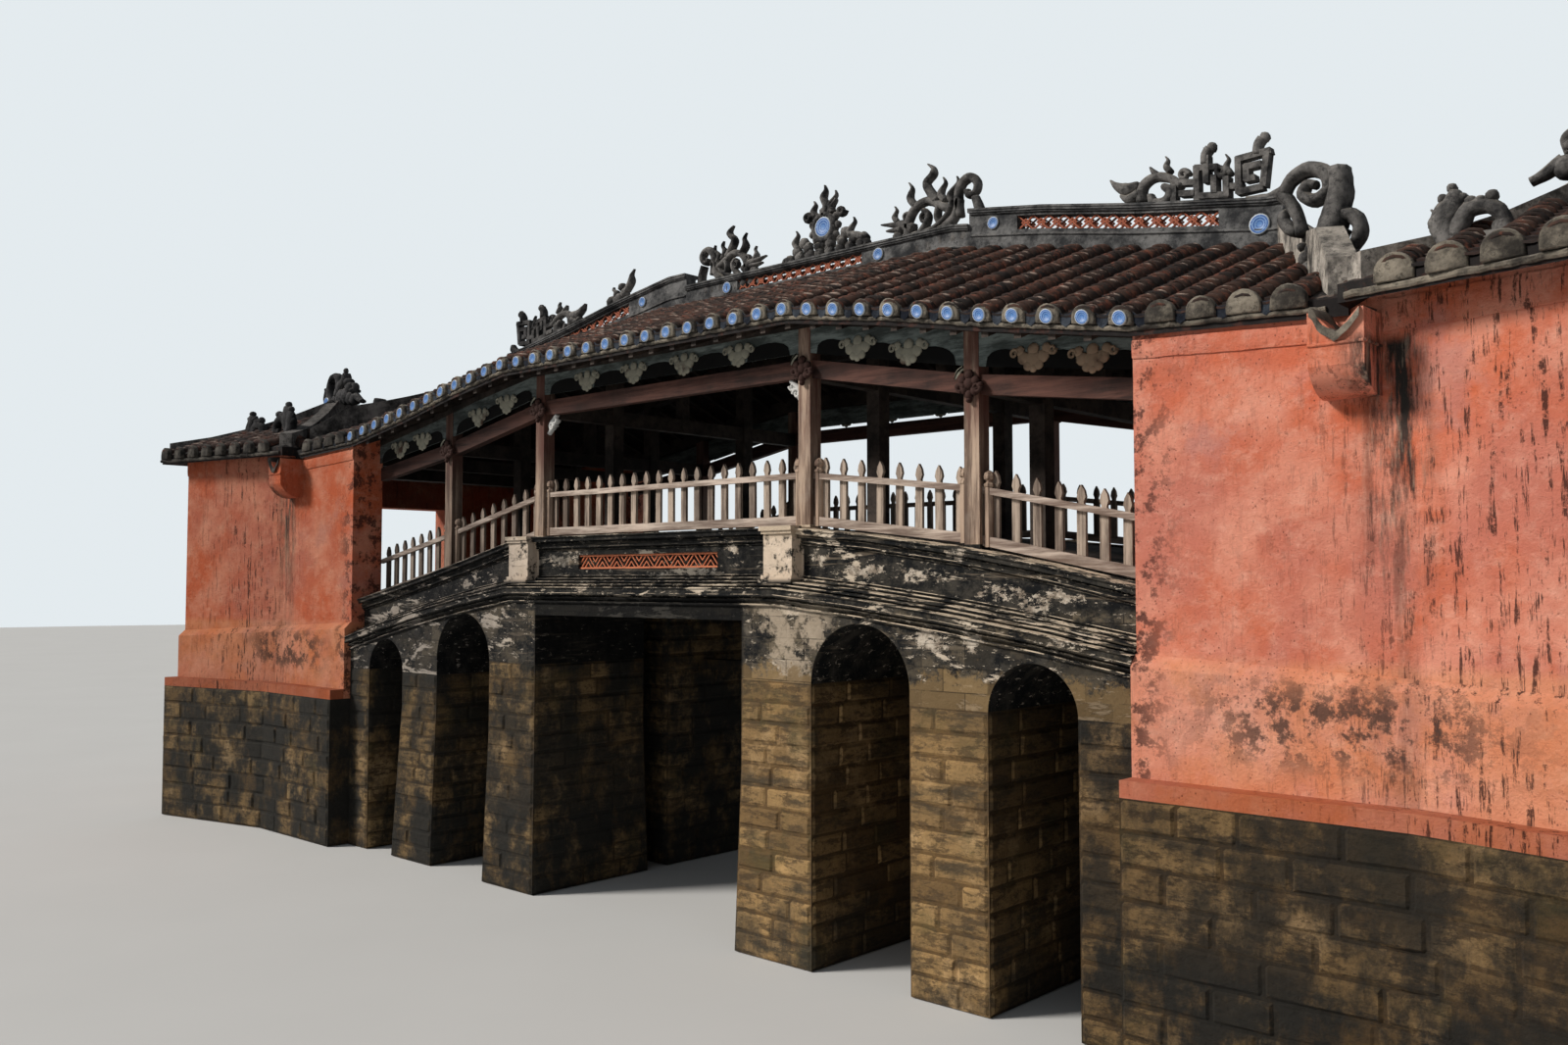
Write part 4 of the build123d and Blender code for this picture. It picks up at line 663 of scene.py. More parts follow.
def eave_slant(x):
    """Direction of the courses, along the bridge and down its hump."""
    return Vector((0.1, 0, roof_fall(x - 0.05) - roof_fall(x + 0.05))).normalized()


def slope_start(x):
    """How far down the slope a column begins, at the ridge or at the hip."""
    return 0.1 + max(0, (abs(x) - HIP_START) / (VALLEY - HIP_START) * EAVE)


cover, pans = Shape(), Shape()
for face in SIDES:
    def slope_spot(x, face=face):
        return lambda run: (x, face * run, roof_top(x, run))

    for x, width in GAPS:
        if slope_start(x) < EAVE - 0.1:
            pan_run(pans, slope_spot(x), eave_slant(x), slope_start(x), EAVE + 0.01, width)
    for x in COLUMNS:
        if slope_start(x) < EAVE - 0.1:
            cover_run(cover, slope_spot(x), eave_slant(x), slope_start(x), EAVE)
cover.build("roof_cover_tiles", TILE, "roof_tile", True)
pans.build("roof_pan_tiles", PAN, "roof_tile")

# Eave caps: mortar plugs at the foot of each column, with a plate in each cap over the open bays
caps, plates = Shape(), Shape()


def cap(shape, centre, across, out, half=0.1, depth=0.05, foot=0.05):
    """Plug with a round head, its face turned outward."""
    rim = [(-half, -foot), (half, -foot)]
    rim += [(half * cos(pi * step / 10), half * sin(pi * step / 10)) for step in range(11)]
    points = []
    for push, grow in ((-0.02, 1), (depth * 0.8, 1), (depth, 0.9)):
        for u, v in rim:
            jitter = 1 + random.uniform(-0.02, 0.02)
            points.append(centre + across * (u * grow * jitter) + Vector((0, 0, v * grow)) + out * push)
    size = len(rim)
    shape.add(points, tube(3, size) + [tuple(range(2 * size, 3 * size))])


def plate(shape, centre, across, out, radius=0.062):
    """Dished plate that faces outward, with its places for the painted rings."""
    up = Vector((0, 0, 1))
    points, flat = [], []
    for size, push in ((1, 0), (1, 0.012), (0.86, 0.016), (0.5, 0.008), (0, 0.006)):
        for step in range(16):
            turn = tau * step / 16
            points.append(centre + (across * cos(turn) + up * sin(turn)) * (radius * size) + out * push)
            flat.append((size * cos(turn), size * sin(turn)))
    shape.add(points, tube(5, 16), None, flat)


def ridge_plate(shape, centre, face, radius):
    """Plate on a long face of a ridge."""
    plate(shape, centre, -face * X_AXIS, face * Y_AXIS, radius)


for face in SIDES:
    out = face * Y_AXIS
    for x in COLUMNS:
        centre = Vector((x, face * EAVE, roof_top(x, EAVE) + 0.005))
        half = random.uniform(0.098, 0.112) if abs(x) < 5.95 else random.uniform(0.115, 0.13)
        cap(caps, centre, eave_slant(x), out, half)
        if abs(x) < 6.1:
            plate(plates, centre + out * 0.05, eave_slant(x), out)
caps.build("eave_caps", CAP_MORTAR, "mortar", True)
plates.build("eave_plates", PLATE, "terracotta", True)


# Ridge ornaments: strokes of mortar modelled along smooth paths
def smooth_path(points, pieces=4):
    """Points of a smooth curve through the given ones."""
    spots = []
    for index in range(len(points) - 1):
        p0 = points[max(0, index - 1)]
        p1, p2 = points[index], points[index + 1]
        p3 = points[min(len(points) - 1, index + 2)]
        for step in range(pieces):
            t = step / pieces
            spots.append(tuple(
                b + ((c - a) * t + (2 * a - 5 * b + 4 * c - d) * t ** 2 + (3 * (b - c) - a + d) * t ** 3) / 2
                for a, b, c, d in zip(p0, p1, p2, p3)))
    spots.append(points[-1])
    return spots


class Carving:
    """Ornaments for one shape, in centimetres by default; place turns across, up and deep into a point."""

    def __init__(self, shape, place, unit=0.01):
        self.shape = shape
        self.place = place
        self.unit = unit

    def stroke(self, path, depth=6):
        """Rounded band; path holds across, up and half width."""
        spots = smooth_path([[value * self.unit for value in point] for point in path])
        points = []
        for index, (u, w, half) in enumerate(spots):
            before, after = spots[max(0, index - 1)], spots[min(len(spots) - 1, index + 1)]
            du, dw = after[0] - before[0], after[1] - before[1]
            length = hypot(du, dw) or 1
            half = max(half * 1.2, 0.008) * (1 + 0.16 * noise.noise((u * 13, w * 13, 0.3)))
            thick = min(depth * self.unit * 1.15, half * 1.4 + 0.012)
            for step in range(8):
                turn = tau * (step + 0.5) / 8
                a, b = cos(turn) * half, sin(turn) * thick
                points.append(self.place(u - dw / length * a, w + du / length * a, b))
        ends = [tuple(reversed(range(8))), tuple(range(len(points) - 8, len(points)))]
        self.shape.add(points, tube(len(spots), 8) + ends)

    def lumps(self, places, deep=None):
        """Rounded lumps of mortar, a little uneven; places hold across, up and half width."""
        for u, w, half in places:
            self.lump(u, w, half, deep)

    def lump(self, u, w, half, deep=None):
        u, w, half, deep = (value * self.unit for value in (u, w, half, deep or half * 0.9))
        points = [self.place(u, w - half, 0)]
        for ring in range(1, 5):
            tall = pi * ring / 5
            for step in range(8):
                turn = tau * step / 8
                grow = 1 + 0.18 * noise.noise((u * 7 + step, w * 7 + ring, half * 31))
                points.append(self.place(u + half * grow * sin(tall) * cos(turn), w - half * cos(tall),
                                         deep * grow * sin(tall) * sin(turn)))
        points.append(self.place(u, w + half, 0))
        foot = [(0, 1 + (step + 1) % 8, 1 + step) for step in range(8)]
        head = [(25 + step, 25 + (step + 1) % 8, 33) for step in range(8)]
        self.shape.add(points, foot + tube(4, 8, 1) + head)

    def flame(self, u, w, height, lean=0, half=3.5):
        """Licking tongue that sways one way and back to a point."""
        self.stroke([
            (u, w, half), (u - 0.2 * height + lean * 0.2, w + 0.3 * height, half * 1.05),
            (u - 0.1 * height + lean * 0.5, w + 0.52 * height, half * 0.75),
            (u + 0.08 * height + lean * 0.8, w + 0.75 * height, half * 0.5),
            (u - 0.02 * height + lean, w + height, 0.6),
        ])

    def curl(self, u, w, size, way=1, half=4, turns=1.2, start=0):
        """Scroll that winds inward from its outer turn."""
        path = []
        for step in range(9):
            share = step / 8
            turn = start + way * tau * turns * share
            reach = size * (1 - 0.72 * share)
            path.append((u + reach * cos(turn), w + reach * sin(turn), half * (1 - 0.45 * share)))
        self.stroke(path)

    def bar(self, start, end, half=3, depth=5.5):
        """Square bar of a fret."""
        (a, b), (c, d) = [[value * self.unit for value in spot] for spot in (start, end)]
        half, depth = half * self.unit, depth * self.unit * random.uniform(0.85, 1.1)
        length = hypot(c - a, d - b)
        nu, nw = -(d - b) / length * half, (c - a) / length * half
        eu, ew = nw * 0.6, -nu * 0.6
        points = []
        for deep in (-depth, depth):
            for u, w in ((a - eu + nu, b - ew + nw), (a - eu - nu, b - ew - nw),
                         (c + eu - nu, d + ew - nw), (c + eu + nu, d + ew + nw)):
                points.append(self.place(u, w, deep))
        value = random.random()
        for face in BOX_FACES:
            self.shape.add([points[index] for index in face], [(0, 1, 2, 3)], value)


def upright(x0, z0, side=1, size=1, y0=0):
    """Place for ornaments that stand on a ridge along the bridge."""
    return lambda u, w, d: Vector((x0 + side * u * size, y0 + d, z0 + w * size))


def dragon(c):
    """Dragon facing the sun, its body a crescent between head and tail scroll."""
    c.stroke([(36, 2, 5), (62, -5, 6), (88, 0, 6), (108, 13, 5.5), (115, 32, 4)])
    c.stroke([(50, 3, 3), (76, 5, 3), (98, 17, 3), (105, 33, 2.5)])
    c.stroke([(128, -25, 7), (140, -7, 6.5), (142, 12, 5.5), (136, 30, 4)])
    c.stroke([(116, 12, 4), (113, 35, 5), (118, 49, 5), (130, 54, 4.5), (139, 46, 4), (137, 36, 3.5),
              (128, 34, 3.5), (125, 40, 3)])
    c.stroke([(42, 3, 5), (43, 20, 5), (53, 34, 4.5), (70, 39, 4.5), (86, 32, 4.5), (104, 22, 4.5)])
    c.stroke([(58, 2, 4), (68, 12, 3.5), (72, 22, 3), (65, 29, 3)])
    c.stroke([(86, 30, 3.5), (84, 16, 3), (90, 8, 3)])
    c.curl(66, 20, 7, 1, 2.5)
    c.flame(54, 36, 30, -10, 3.5)
    c.stroke([(84, 36, 4.5), (74, 49, 4.5), (69, 60, 4), (78, 68, 3.5), (79, 75, 2.5), (71, 82, 0.8)])
    c.flame(95, 34, 28, -2, 3.2)
    c.flame(106, 30, 29, 6, 3)
    c.stroke([(50, 10, 6), (36, 17, 5.5), (22, 20, 3), (2, 24, 0.8)])
    c.stroke([(34, 13, 4), (20, 14, 2.5), (10, 15, 1)])
    c.flame(27, 22, 20, -4, 2.5)
    c.curl(40, 26, 5, 1, 2.2)
    c.lumps(((16, -2, 7), (27, 4, 8), (30, -10, 9), (45, -10, 10), (14, -12, 7)))
    for u, half in ((60, 10), (76, 11), (93, 12), (110, 13), (124, 13)):
        c.lump(u, -16 + 5 * (u > 80), half, 10)


def sun_disc(c, glaze):
    """Sun with a glazed plate, set in a heap of clouds and ringed with flames."""
    c.stroke([(16 * cos(tau * step / 12), 36 + 16 * sin(tau * step / 12), 3.5) for step in range(13)])
    for step in range(11):
        turn = tau * step / 11
        c.lump(21 * cos(turn), 36 + 21 * sin(turn), 5, 5)
    for face in SIDES:
        ridge_plate(glaze, c.place(0, 0.36, face * 0.035), face, 0.13)
    for row, (low, reach) in enumerate(((4, 58), (13, 46), (22, 34))):
        count = 8 - 2 * row
        for index in range(count):
            u = -reach + 2 * reach * index / (count - 1)
            c.lump(u, low + 1.5 * (index % 2), 7.5, 7)
            c.curl(u, low + 2, 5.5, 1 if index % 2 else -1, 2.2, 1.1, 0.7 * index)
    for side in SIDES:
        c.curl(side * 62, 3, 7, side, 3.2)
        c.flame(side * 44, 16, 24, side * 3, 3)
        c.curl(side * 27, 52, 6, -side, 3)
        c.flame(side * 14, 52, 20, side * 3, 3)
    c.stroke([(40, 20, 4), (54, 16, 4), (66, 11, 3.5), (62, 18, 2)])
    c.stroke([(0, 50, 5), (3, 62, 4.5), (-2, 73, 3.5), (2, 82, 2), (0, 89, 0.6)])
    c.flame(13, 55, 24, 5, 2.8)


def fret(c):
    """Running fret of square scrolls with leaves, ending in a bird at the inner end."""
    for path in (
        [(28, 20, 4), (14, 16, 6), (3, 20, 3.5), (-4, 26, 1)],
        [(28, 12, 5), (16, 6, 4), (8, 10, 2)],
        [(30, 3, 5), (32, 18, 4.5), (44, 27, 4), (60, 26, 4), (74, 17, 4)],
        [(54, 18, 3), (62, 12, 4.5), (56, 3, 4), (44, 2, 4), (40, 10, 3)],
        [(52, 27, 3), (44, 33, 2.5), (40, 38, 1)],
    ):
        c.stroke(path)
    for start, end in (
        ((66, 2), (66, 20)), ((66, 20), (88, 20)), ((74, 9), (86, 9)),
        ((90, 3), (90, 34)), ((90, 34), (110, 34)), ((100, 20), (100, 44)),
        ((90, 6), (120, 6)), ((108, 10), (108, 24)), ((120, 6), (120, 22)),
        ((120, 14), (134, 14)), ((132, 8), (132, 40)), ((132, 40), (162, 46)),
        ((160, 46), (156, 14)), ((132, 8), (154, 12)), ((140, 20), (140, 32)),
        ((140, 32), (153, 34)), ((140, 20), (147, 21)),
    ):
        c.bar(start, end)
    for u, w, size in ((62, 32, 16), (124, 26, 20), (102, 40, 14)):
        c.flame(u, w, size, -5, 2.8)
    for u, w in ((98, 44), (150, 50)):
        c.stroke([(u, w - 6, 4.5), (u + 1, w + 3, 4), (u + 5, w + 9, 4)])
        c.lump(u + 7, w + 10, 5.5, 5.5)
    c.curl(114, 30, 6, -1, 3)
    c.curl(76, 28, 5.5, 1, 2.8)


def end_scroll(c):
    """Tall scroll at the head of a hip, with an open coil inward and an ear outward."""
    c.stroke([(0, 60, 5), (8, 72, 5.5), (24, 78, 6), (40, 70, 6), (41, 55, 5.5), (29, 48, 5.5), (18, 55, 5),
              (22, 64, 4), (30, 62, 3.5)], 9)
    c.stroke([(-4, 62, 5), (6, 50, 5), (13, 34, 4.5), (16, 18, 5)], 8)
    c.stroke([(3, 44, 2), (-1, 36, 5), (5, 26, 5), (12, 20, 3)], 7)
    c.stroke([(50, 73, 8), (51, 52, 9.5), (47, 34, 10), (42, 16, 12), (34, -4, 14)], 12)
    c.stroke([(43, 66, 1.5), (43, 45, 2), (38, 25, 2)], 14)
    c.stroke([(57, 66, 1.5), (57, 45, 2), (52, 30, 2)], 14)
    c.stroke([(50, 30, 5), (62, 27, 6), (68, 16, 5.5), (65, 4, 5), (56, -6, 5)], 9)
    c.stroke([(56, 16, 3), (52, 6, 4), (50, -4, 4)], 8)
    c.lumps(((25, 2, 8), (33, 7, 9), (20, -4, 8), (42, -5, 11), (29, 14, 6), (52, -6, 12), (60, -12, 10),
             (36, -12, 11), (24, -14, 9), (17, 6, 5)), 10)
    c.lump(46, 0, 13, 13)


def cloud_beast(c):
    """Crouching beast on a gate hip, arched so that light shows under its tail."""
    c.stroke([(5, -2, 5), (2, 14, 7.5), (8, 24, 7), (10, 34, 3)], 7)
    c.stroke([(7, 0, 5), (12, 12, 6), (18, 20, 5), (30, 20, 4.5), (38, 12, 4), (40, 0, 4.5)], 6)
    c.stroke([(10, 0, 5), (24, -2, 5), (42, 0, 4)], 6)
    c.lumps(((14, 28, 4), (19, 25, 4), (25, 24, 4), (32, 26, 4.5), (38, 5, 6), (3, 5, 8), (-2, 14, 6),
             (4, 20, 7), (10, 26, 5), (2, 30, 3.5), (12, 2, 7), (36, 16, 5), (42, 0, 5), (8, 36, 3.5)), 6)
    c.flame(-1, 10, 14, -4, 2.5)
    c.curl(7, 16, 5, 1, 2)
    c.curl(36, 6, 4.5, -1, 2)


def gate_scroll(c, glaze):
    """Group at the end of a gate ridge: open hook, pearl and stepped clouds."""
    c.stroke([(-30, 0, 9), (-38, 18, 7), (-36, 36, 5.5), (-28, 48, 5), (-17, 50, 4.5), (-9, 42, 4.5),
              (-8, 28, 5)], 8)
    c.stroke([(-46, 2, 5), (-52, 14, 4.5), (-50, 26, 3), (-55, 32, 2)])
    c.stroke([(-14, 16, 6), (-2, 34, 7), (10, 40, 6), (12, 52, 3.5)], 8)
    c.lump(10, 56, 5)
    c.lumps(((0, 12, 16), (16, 14, 15), (26, 26, 10), (30, 8, 12), (42, 6, 10), (-20, 6, 13), (40, 20, 5),
             (20, 36, 7), (-36, 6, 10)), 11)
    c.stroke([(40, 16, 3.5), (43, 26, 3), (39, 31, 3)])
    c.stroke([(44, 12, 5), (56, 4, 4), (66, 0, 3)])
    for face in SIDES:
        ridge_plate(glaze, c.place(-0.32, 0.06, face * 0.11), face, 0.085)


carving, glaze = Shape(), Shape()
sun_disc(Carving(carving, upright(0.4, RIDGE_LEVEL + MIDDLE_RIDGE)), glaze)
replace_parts(carving.build("sun_carving", CARVED, "mortar", True), "ridge_sun")

carving = Shape()
dragon(Carving(carving, upright(1.27, 7.62)))
dragon(Carving(carving, upright(-0.58, 7.62, -1, 0.86)))
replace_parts(carving.build("dragon_carvings", CARVED, "mortar", True), "ridge_dragons")


def on_ridge(x0, side=1):
    """Place for ornaments that follow the falling side ridge."""
    def place(u, w, d):
        x = x0 + side * u
        return Vector((x, d, RIDGE_LEVEL - roof_fall(x) + SIDE_RIDGE + w))
    return place


def broken_stump(c):
    """What is left of the scroll at the front left."""
    c.stroke([(30, -25, 12), (36, -5, 11), (40, 12, 9), (36, 26, 5)], 9)
    c.stroke([(46, -16, 8), (54, 0, 7), (52, 14, 5)], 8)
    c.lumps(((22, -16, 8), (44, -20, 10), (34, 4, 7), (42, 22, 4)), 8)


carving = Shape()
fret(Carving(carving, on_ridge(4.34)))
fret(Carving(carving, on_ridge(-4.34, -1)))
for side in SIDES:
    c = Carving(carving, on_ridge(5.99 * side, side))
    c.stroke([(-25, -2, 5), (-5, 0, 5), (8, 6, 4.5), (12, 15, 2)], 11)
c = Carving(carving, on_ridge(-3.7, -1))
c.lumps([(-16, 6, 10), (-30, 12, 7), (0, 8, 9), (-24, 22, 6)], 8)
c.flame(-34, 14, 26, -16, 4)
c.flame(-10, 12, 16, 5, 3)
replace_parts(carving.build("fret_carvings", CARVED, "mortar", True), "ridge_frets")

carving = Shape()
for side, face in CORNERS:
    if side < 0 and face < 0:
        broken_stump(Carving(carving, upright(side * 6.76, 6.19, side, 0.85, face * 1.75)))
    else:
        end_scroll(Carving(carving, upright(side * 6.76, 6.19, side, 0.853, face * 1.75)))
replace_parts(carving.build("hip_scroll_carvings", CARVED, "mortar", True), "hip_scrolls")

carving = Shape()
for side, face in CORNERS:
    gate_scroll(Carving(carving, upright(side * GATE_RIDGE, GATE_TOP + 0.2, -side, 1, face * 1.3)), glaze)
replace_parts(carving.build("gate_carvings", CARVED, "mortar", True), "gate_scrolls")

carving = Shape()
for side, face in CORNERS:
    size = 1.3 if side < 0 else 1
    cloud_beast(Carving(carving, upright(side * 8.14, 5.88, side, size, face * 2.62)))
    cloud_beast(Carving(carving, upright(side * 9.72, 5.86, -side, size, face * 2.55)))
carving.build("gate_beasts", CARVED, "mortar", True)
glaze.build("ridge_plates", PLATE, "terracotta", True)


# Dressed stone: pillowed blocks laid in courses over the rubble core
SHORTEST_STONE, LONGEST_STONE = 0.42, 0.85


def block(shape, spot, out, a, b, low, high):
    """One stone on a face; spot(u, z) gives the face in metres along and up."""
    across, up = 5, 4
    proud, joint, inset = 0.018, 0.007, 0.028
    points = []
    us = [a + joint, a + joint + inset, (a + b) / 2, b - joint - inset, b - joint]
    zs = [low + joint, low + joint + inset, high - joint - inset, high - joint]
    chip = random.uniform(0.5, 1.2)
    for j, z in enumerate(zs):
        for i, u in enumerate(us):
            rim = i in (0, across - 1) or j in (0, up - 1)
            rough = noise.noise((u * 5.1 + low, z * 6.3, a * 1.7))
            push = -0.004 if rim else proud * chip + 0.014 * rough
            slip = 0.006 * noise.noise((u * 11, z * 13, 4.2)) if rim else 0
            points.append(Vector(spot(u + slip, z + slip)) + out * push)
    faces = [(j * across + i, j * across + i + 1, (j + 1) * across + i + 1, (j + 1) * across + i)
             for j in range(up - 1) for i in range(across - 1)]
    shape.add(points, faces, min(1, max(0, random.gauss(0.45, 0.25))))


def courses(shape, spot, out, run, low, high, course=0.205):
    """Courses of stones over a face that is run long."""
    count = max(1, round((high - low) / course))
    step = (high - low) / count
    for row in range(count):
        bottom = low + row * step
        place = 0
        while place < run - 0.02:
            length = random.uniform(SHORTEST_STONE, LONGEST_STONE)
            if place == 0 and row % 2:
                length *= 0.6
            end = place + length
            if run - end < SHORTEST_STONE * 0.6:
                end = run
            block(shape, spot, out, place, end, bottom, bottom + step)
            place = end


def pier_stones(shape, box, low, high):
    """Stones on the four faces of a pier; box(z) gives its low and high corners in plan."""
    x0w, y0w, x1w, y1w = box((low + high) / 2)
    for axis, face in ((1, -1), (0, 1), (1, 1), (0, -1)):
        run = x1w - x0w if axis == 1 else y1w - y0w

        def spot(u, z, axis=axis, face=face, run=run):
            x0, y0, x1, y1 = box(z)
            if axis == 1:
                return (x0 + (x1 - x0) * u / run, y1 if face > 0 else y0, z)
            return (x1 if face > 0 else x0, y0 + (y1 - y0) * u / run, z)

        courses(shape, spot, face * (Y_AXIS if axis else X_AXIS), run, low, high)


def plan(x0, x1, y0, y1):
    """Low and high corners of a rectangle in plan."""
    return min(x0, x1), min(y0, y1), max(x0, x1), max(y0, y1)


def main_pier_box(side, row):
    def box(z):
        spread = 0.045 * max(0, 1 - z / 1.8)
        return plan(side * (MAIN_PIER[0] - spread), side * (MAIN_PIER[1] + spread),
                    row * (PIER_INNER - spread), row * (ARCADE_FACE + spread))
    return box


def small_pier_box(side, row):
    flare = 0.22 if side < 0 else 0

    def box(z):
        spread = max(0, 1 - z / STREET)
        return plan(side * (SMALL_PIER[0] + flare / 2 * spread), side * (SMALL_PIER[1] + flare * spread),
                    row * PIER_INNER, row * ARCADE_FACE)
    return box


stones = Shape()
for side, row in CORNERS:
    pier_stones(stones, main_pier_box(side, row), 0, 2.65)
    pier_stones(stones, small_pier_box(side, row), 0, SPRING_LEVEL[side])
stones.build("pier_stones", STONE, "pier_stone")

stones = Shape()
for side in SIDES:
    for inner, outer in (MAIN_PIER, SMALL_PIER):
        pier_stones(stones, lambda z, a=side * inner, b=side * outer: plan(a, b, -0.69, 0.69), 0, 3.3)
    for face in SIDES:
        def nose(u, z, side=side, face=face):
            return (side * (ABUTMENT + u), face * ARCADE_FACE, z)

        def under_wall(u, z, side=side, face=face):
            x = WALL_START + u
            return (side * x, face * (wall_line(x) + 0.3), z)

        courses(stones, nose, face * Y_AXIS, WALL_START - ABUTMENT, 0, SPRING_LEVEL[side])
        courses(stones, under_wall, face * Y_AXIS, WALL_END - WALL_START, 0, STREET, 0.25)

    def inner_face(u, z, side=side):
        return (side * ABUTMENT, -ARCADE_FACE + u, z)

    def street_face(u, z, side=side):
        return (side * WALL_END, u - STREET_HALF, z)

    courses(stones, inner_face, -side * X_AXIS, 2 * ARCADE_FACE, 0, SPRING_LEVEL[side])
    courses(stones, street_face, side * X_AXIS, 2 * STREET_HALF, 0, STREET, 0.25)
stones.build("abutment_stones", STONE_DAMP, "pier_stone")


# Terracotta lattices in the ridge windows
def ridge_lattice(shape, start, end, foot, head):
    """Crossed bars with a small diamond in each cell."""
    count = round(abs(end - start) / (1.25 * (head - foot)))
    step = (end - start) / count
    centre, tall, wide = (foot + head) / 2, (head - foot) * 0.27, abs(step) * 0.27
    for face in SIDES:
        def place(u, w, d, face=face):
            return Vector((u, face * 0.05 + d, RIDGE_LEVEL - roof_fall(u) + w))

        c = Carving(shape, place, 1)
        for index in range(count):
            u = start + index * step
            c.bar((u, foot), (u + step, head), 0.008, 0.009)
            c.bar((u, head), (u + step, foot), 0.008, 0.009)
            u += step / 2
            corners = ((u - wide, centre), (u, centre + tall), (u + wide, centre), (u, centre - tall))
            for turn in range(4):
                c.bar(corners[turn], corners[(turn + 1) % 4], 0.006, 0.009)
            c.bar((u - wide * 0.5, centre), (u + wide * 0.5, centre), 0.006, 0.009)


lattices = Shape()
ridge_lattice(lattices, -1.05, 1.05, 0.09, 0.22)
for side in SIDES:
    ridge_lattice(lattices, side * 3.22, side * 5.48, 0.22, 0.37)
lattices.build("ridge_lattice_bars", plain_clay("dark terracotta", (0.24, 0.062, 0.035), (0.36, 0.12, 0.065)),
               "terracotta")

glaze = Shape()
for x, up, size in ((-1.23, 0.15, 0.075), (1.31, 0.15, 0.075), (2.92, 0.3, 0.07), (-2.92, 0.3, 0.07),
                    (5.88, 0.22, 0.1), (-5.88, 0.22, 0.1)):
    for face in SIDES:
        ridge_plate(glaze, Vector((x, face * 0.09, RIDGE_LEVEL - roof_fall(x) + up)), face, size)
glaze.build("ridge_wall_plates", PLATE, "terracotta", True)

# Drip tongues: glazed-dark pan ends that hang between the eave caps
drips = Shape()
for face in SIDES:
    for x, width in GAPS:
        top = Vector((x, face * (EAVE + 0.005), roof_top(x, EAVE) + 0.03))
        half = width / 2 - 0.09
        points = []
        for push in (0, 0.014):
            for u, w in ((-1, 0.035), (-0.9, -0.03), (-0.45, -0.085), (0, -0.105), (0.45, -0.085),
                         (0.9, -0.03), (1, 0.035), (0.4, 0), (-0.4, 0)):
                points.append(top + Vector((u * half, face * (push + 0.1 * max(0, -w)), w)))
        drips.add(points, slab(9))
drips.build("drip_tongues", mortar("dark glaze", (0.006, 0.008, 0.014), (0.05, 0.06, 0.075)), "roof_tile")


# Gate roofs: wider tiles on the four slopes, with bare mortar caps
def gate_run(x):
    """Half width of a gate roof at its eaves."""
    span = wall_line(GATE_END) - wall_line(VALLEY)
    return wall_line(VALLEY) + GATE_OVERHANG + span * (abs(x) - VALLEY) / (GATE_END - VALLEY)


def end_rise(x):
    """Height of the two end slopes of a gate roof over its eaves."""
    rise = GATE_TOP - GATE_EAVE - ROOF_THICKNESS
    return min(rise * (abs(x) - VALLEY) / (GATE_RIDGE - VALLEY),
               rise * (GATE_END - abs(x)) / (GATE_END - GATE_RIDGE))


def gate_top(x, y):
    return GATE_EAVE + ROOF_THICKNESS + min(end_rise(x), ROOF_SLOPE * (gate_run(x) - abs(y)))


def gate_cap(centre, across, out):
    """Bare cap at the foot of a gate column."""
    cap(gate_caps, centre, across, out, 0.125, 0.05, 0.06)


def gate_slope(x, side, face):
    """Spots down a long slope of a gate roof at x, and how far it runs."""
    reach = end_rise(x) / ROOF_SLOPE

    def spot(d):
        y = gate_run(x) - reach + d
        return (side * x, face * y, gate_top(x, y))
    return spot, reach


gate_cover, gate_pans, gate_caps = Shape(), Shape(), Shape()
GATE_PITCH = 0.333
GATE_COLUMNS = 8
hip_top = roof_top(HIP_START, 0)
hip_fall = (hip_top - roof_top(VALLEY, EAVE)) / (VALLEY - HIP_START)
for side in SIDES:
    for face in SIDES:
        for index in range(GATE_COLUMNS):
            x = VALLEY + 0.4 + index * GATE_PITCH
            spot, reach = gate_slope(x, side, face)
            cover_run(gate_cover, spot, X_AXIS, 0, reach, 0.105)
            run = gate_run(x)
            gate_cap(Vector((side * x, face * run, gate_top(x, run) + 0.005)), X_AXIS, face * Y_AXIS)
            if index < GATE_COLUMNS - 1:
                spot, reach = gate_slope(x + GATE_PITCH / 2, side, face)
                pan_run(gate_pans, spot, X_AXIS, 0, reach, GATE_PITCH)
    for direction, eave_x in ((-1, VALLEY), (1, GATE_END)):
        for index in range(-11, 12):
            y = index * GATE_PITCH
            if abs(y) > gate_run(eave_x) - 0.15:
                continue
            start = GATE_RIDGE
            while (ROOF_SLOPE * (gate_run(start) - abs(y)) - end_rise(start) < 0.001
                   and abs(start - eave_x) > 0.1):
                start += direction * 0.02
            reach = abs(eave_x - start)
            if reach < 0.15:
                continue

            def end_spot(d, y=y, start=start, direction=direction, side=side):
                x = start + direction * d
                return (side * x, y, gate_top(x, y))

            cover_run(gate_cover, end_spot, Y_AXIS, 0, reach, 0.105)
            if direction > 0:
                gate_cap(Vector((side * eave_x, y, gate_top(eave_x, y) + 0.005)), Y_AXIS, side * X_AXIS)
    for index in range(-8, 9):
        y = index * 0.32
        start = HIP_START + (VALLEY - HIP_START) * abs(y) / EAVE

        def hip_spot(d, y=y, start=start, side=side):
            return (side * (start + d), y, hip_top - hip_fall * (start + d - HIP_START))

        if VALLEY - start > 0.2:
            cover_run(gate_cover, hip_spot, Y_AXIS, 0, VALLEY - start - 0.02)
gate_cover.build("gate_cover_tiles", TILE, "roof_tile", True)
gate_pans.build("gate_pan_tiles", PAN, "roof_tile")
gate_caps.build("gate_eave_caps", CAP_MORTAR, "mortar", True)


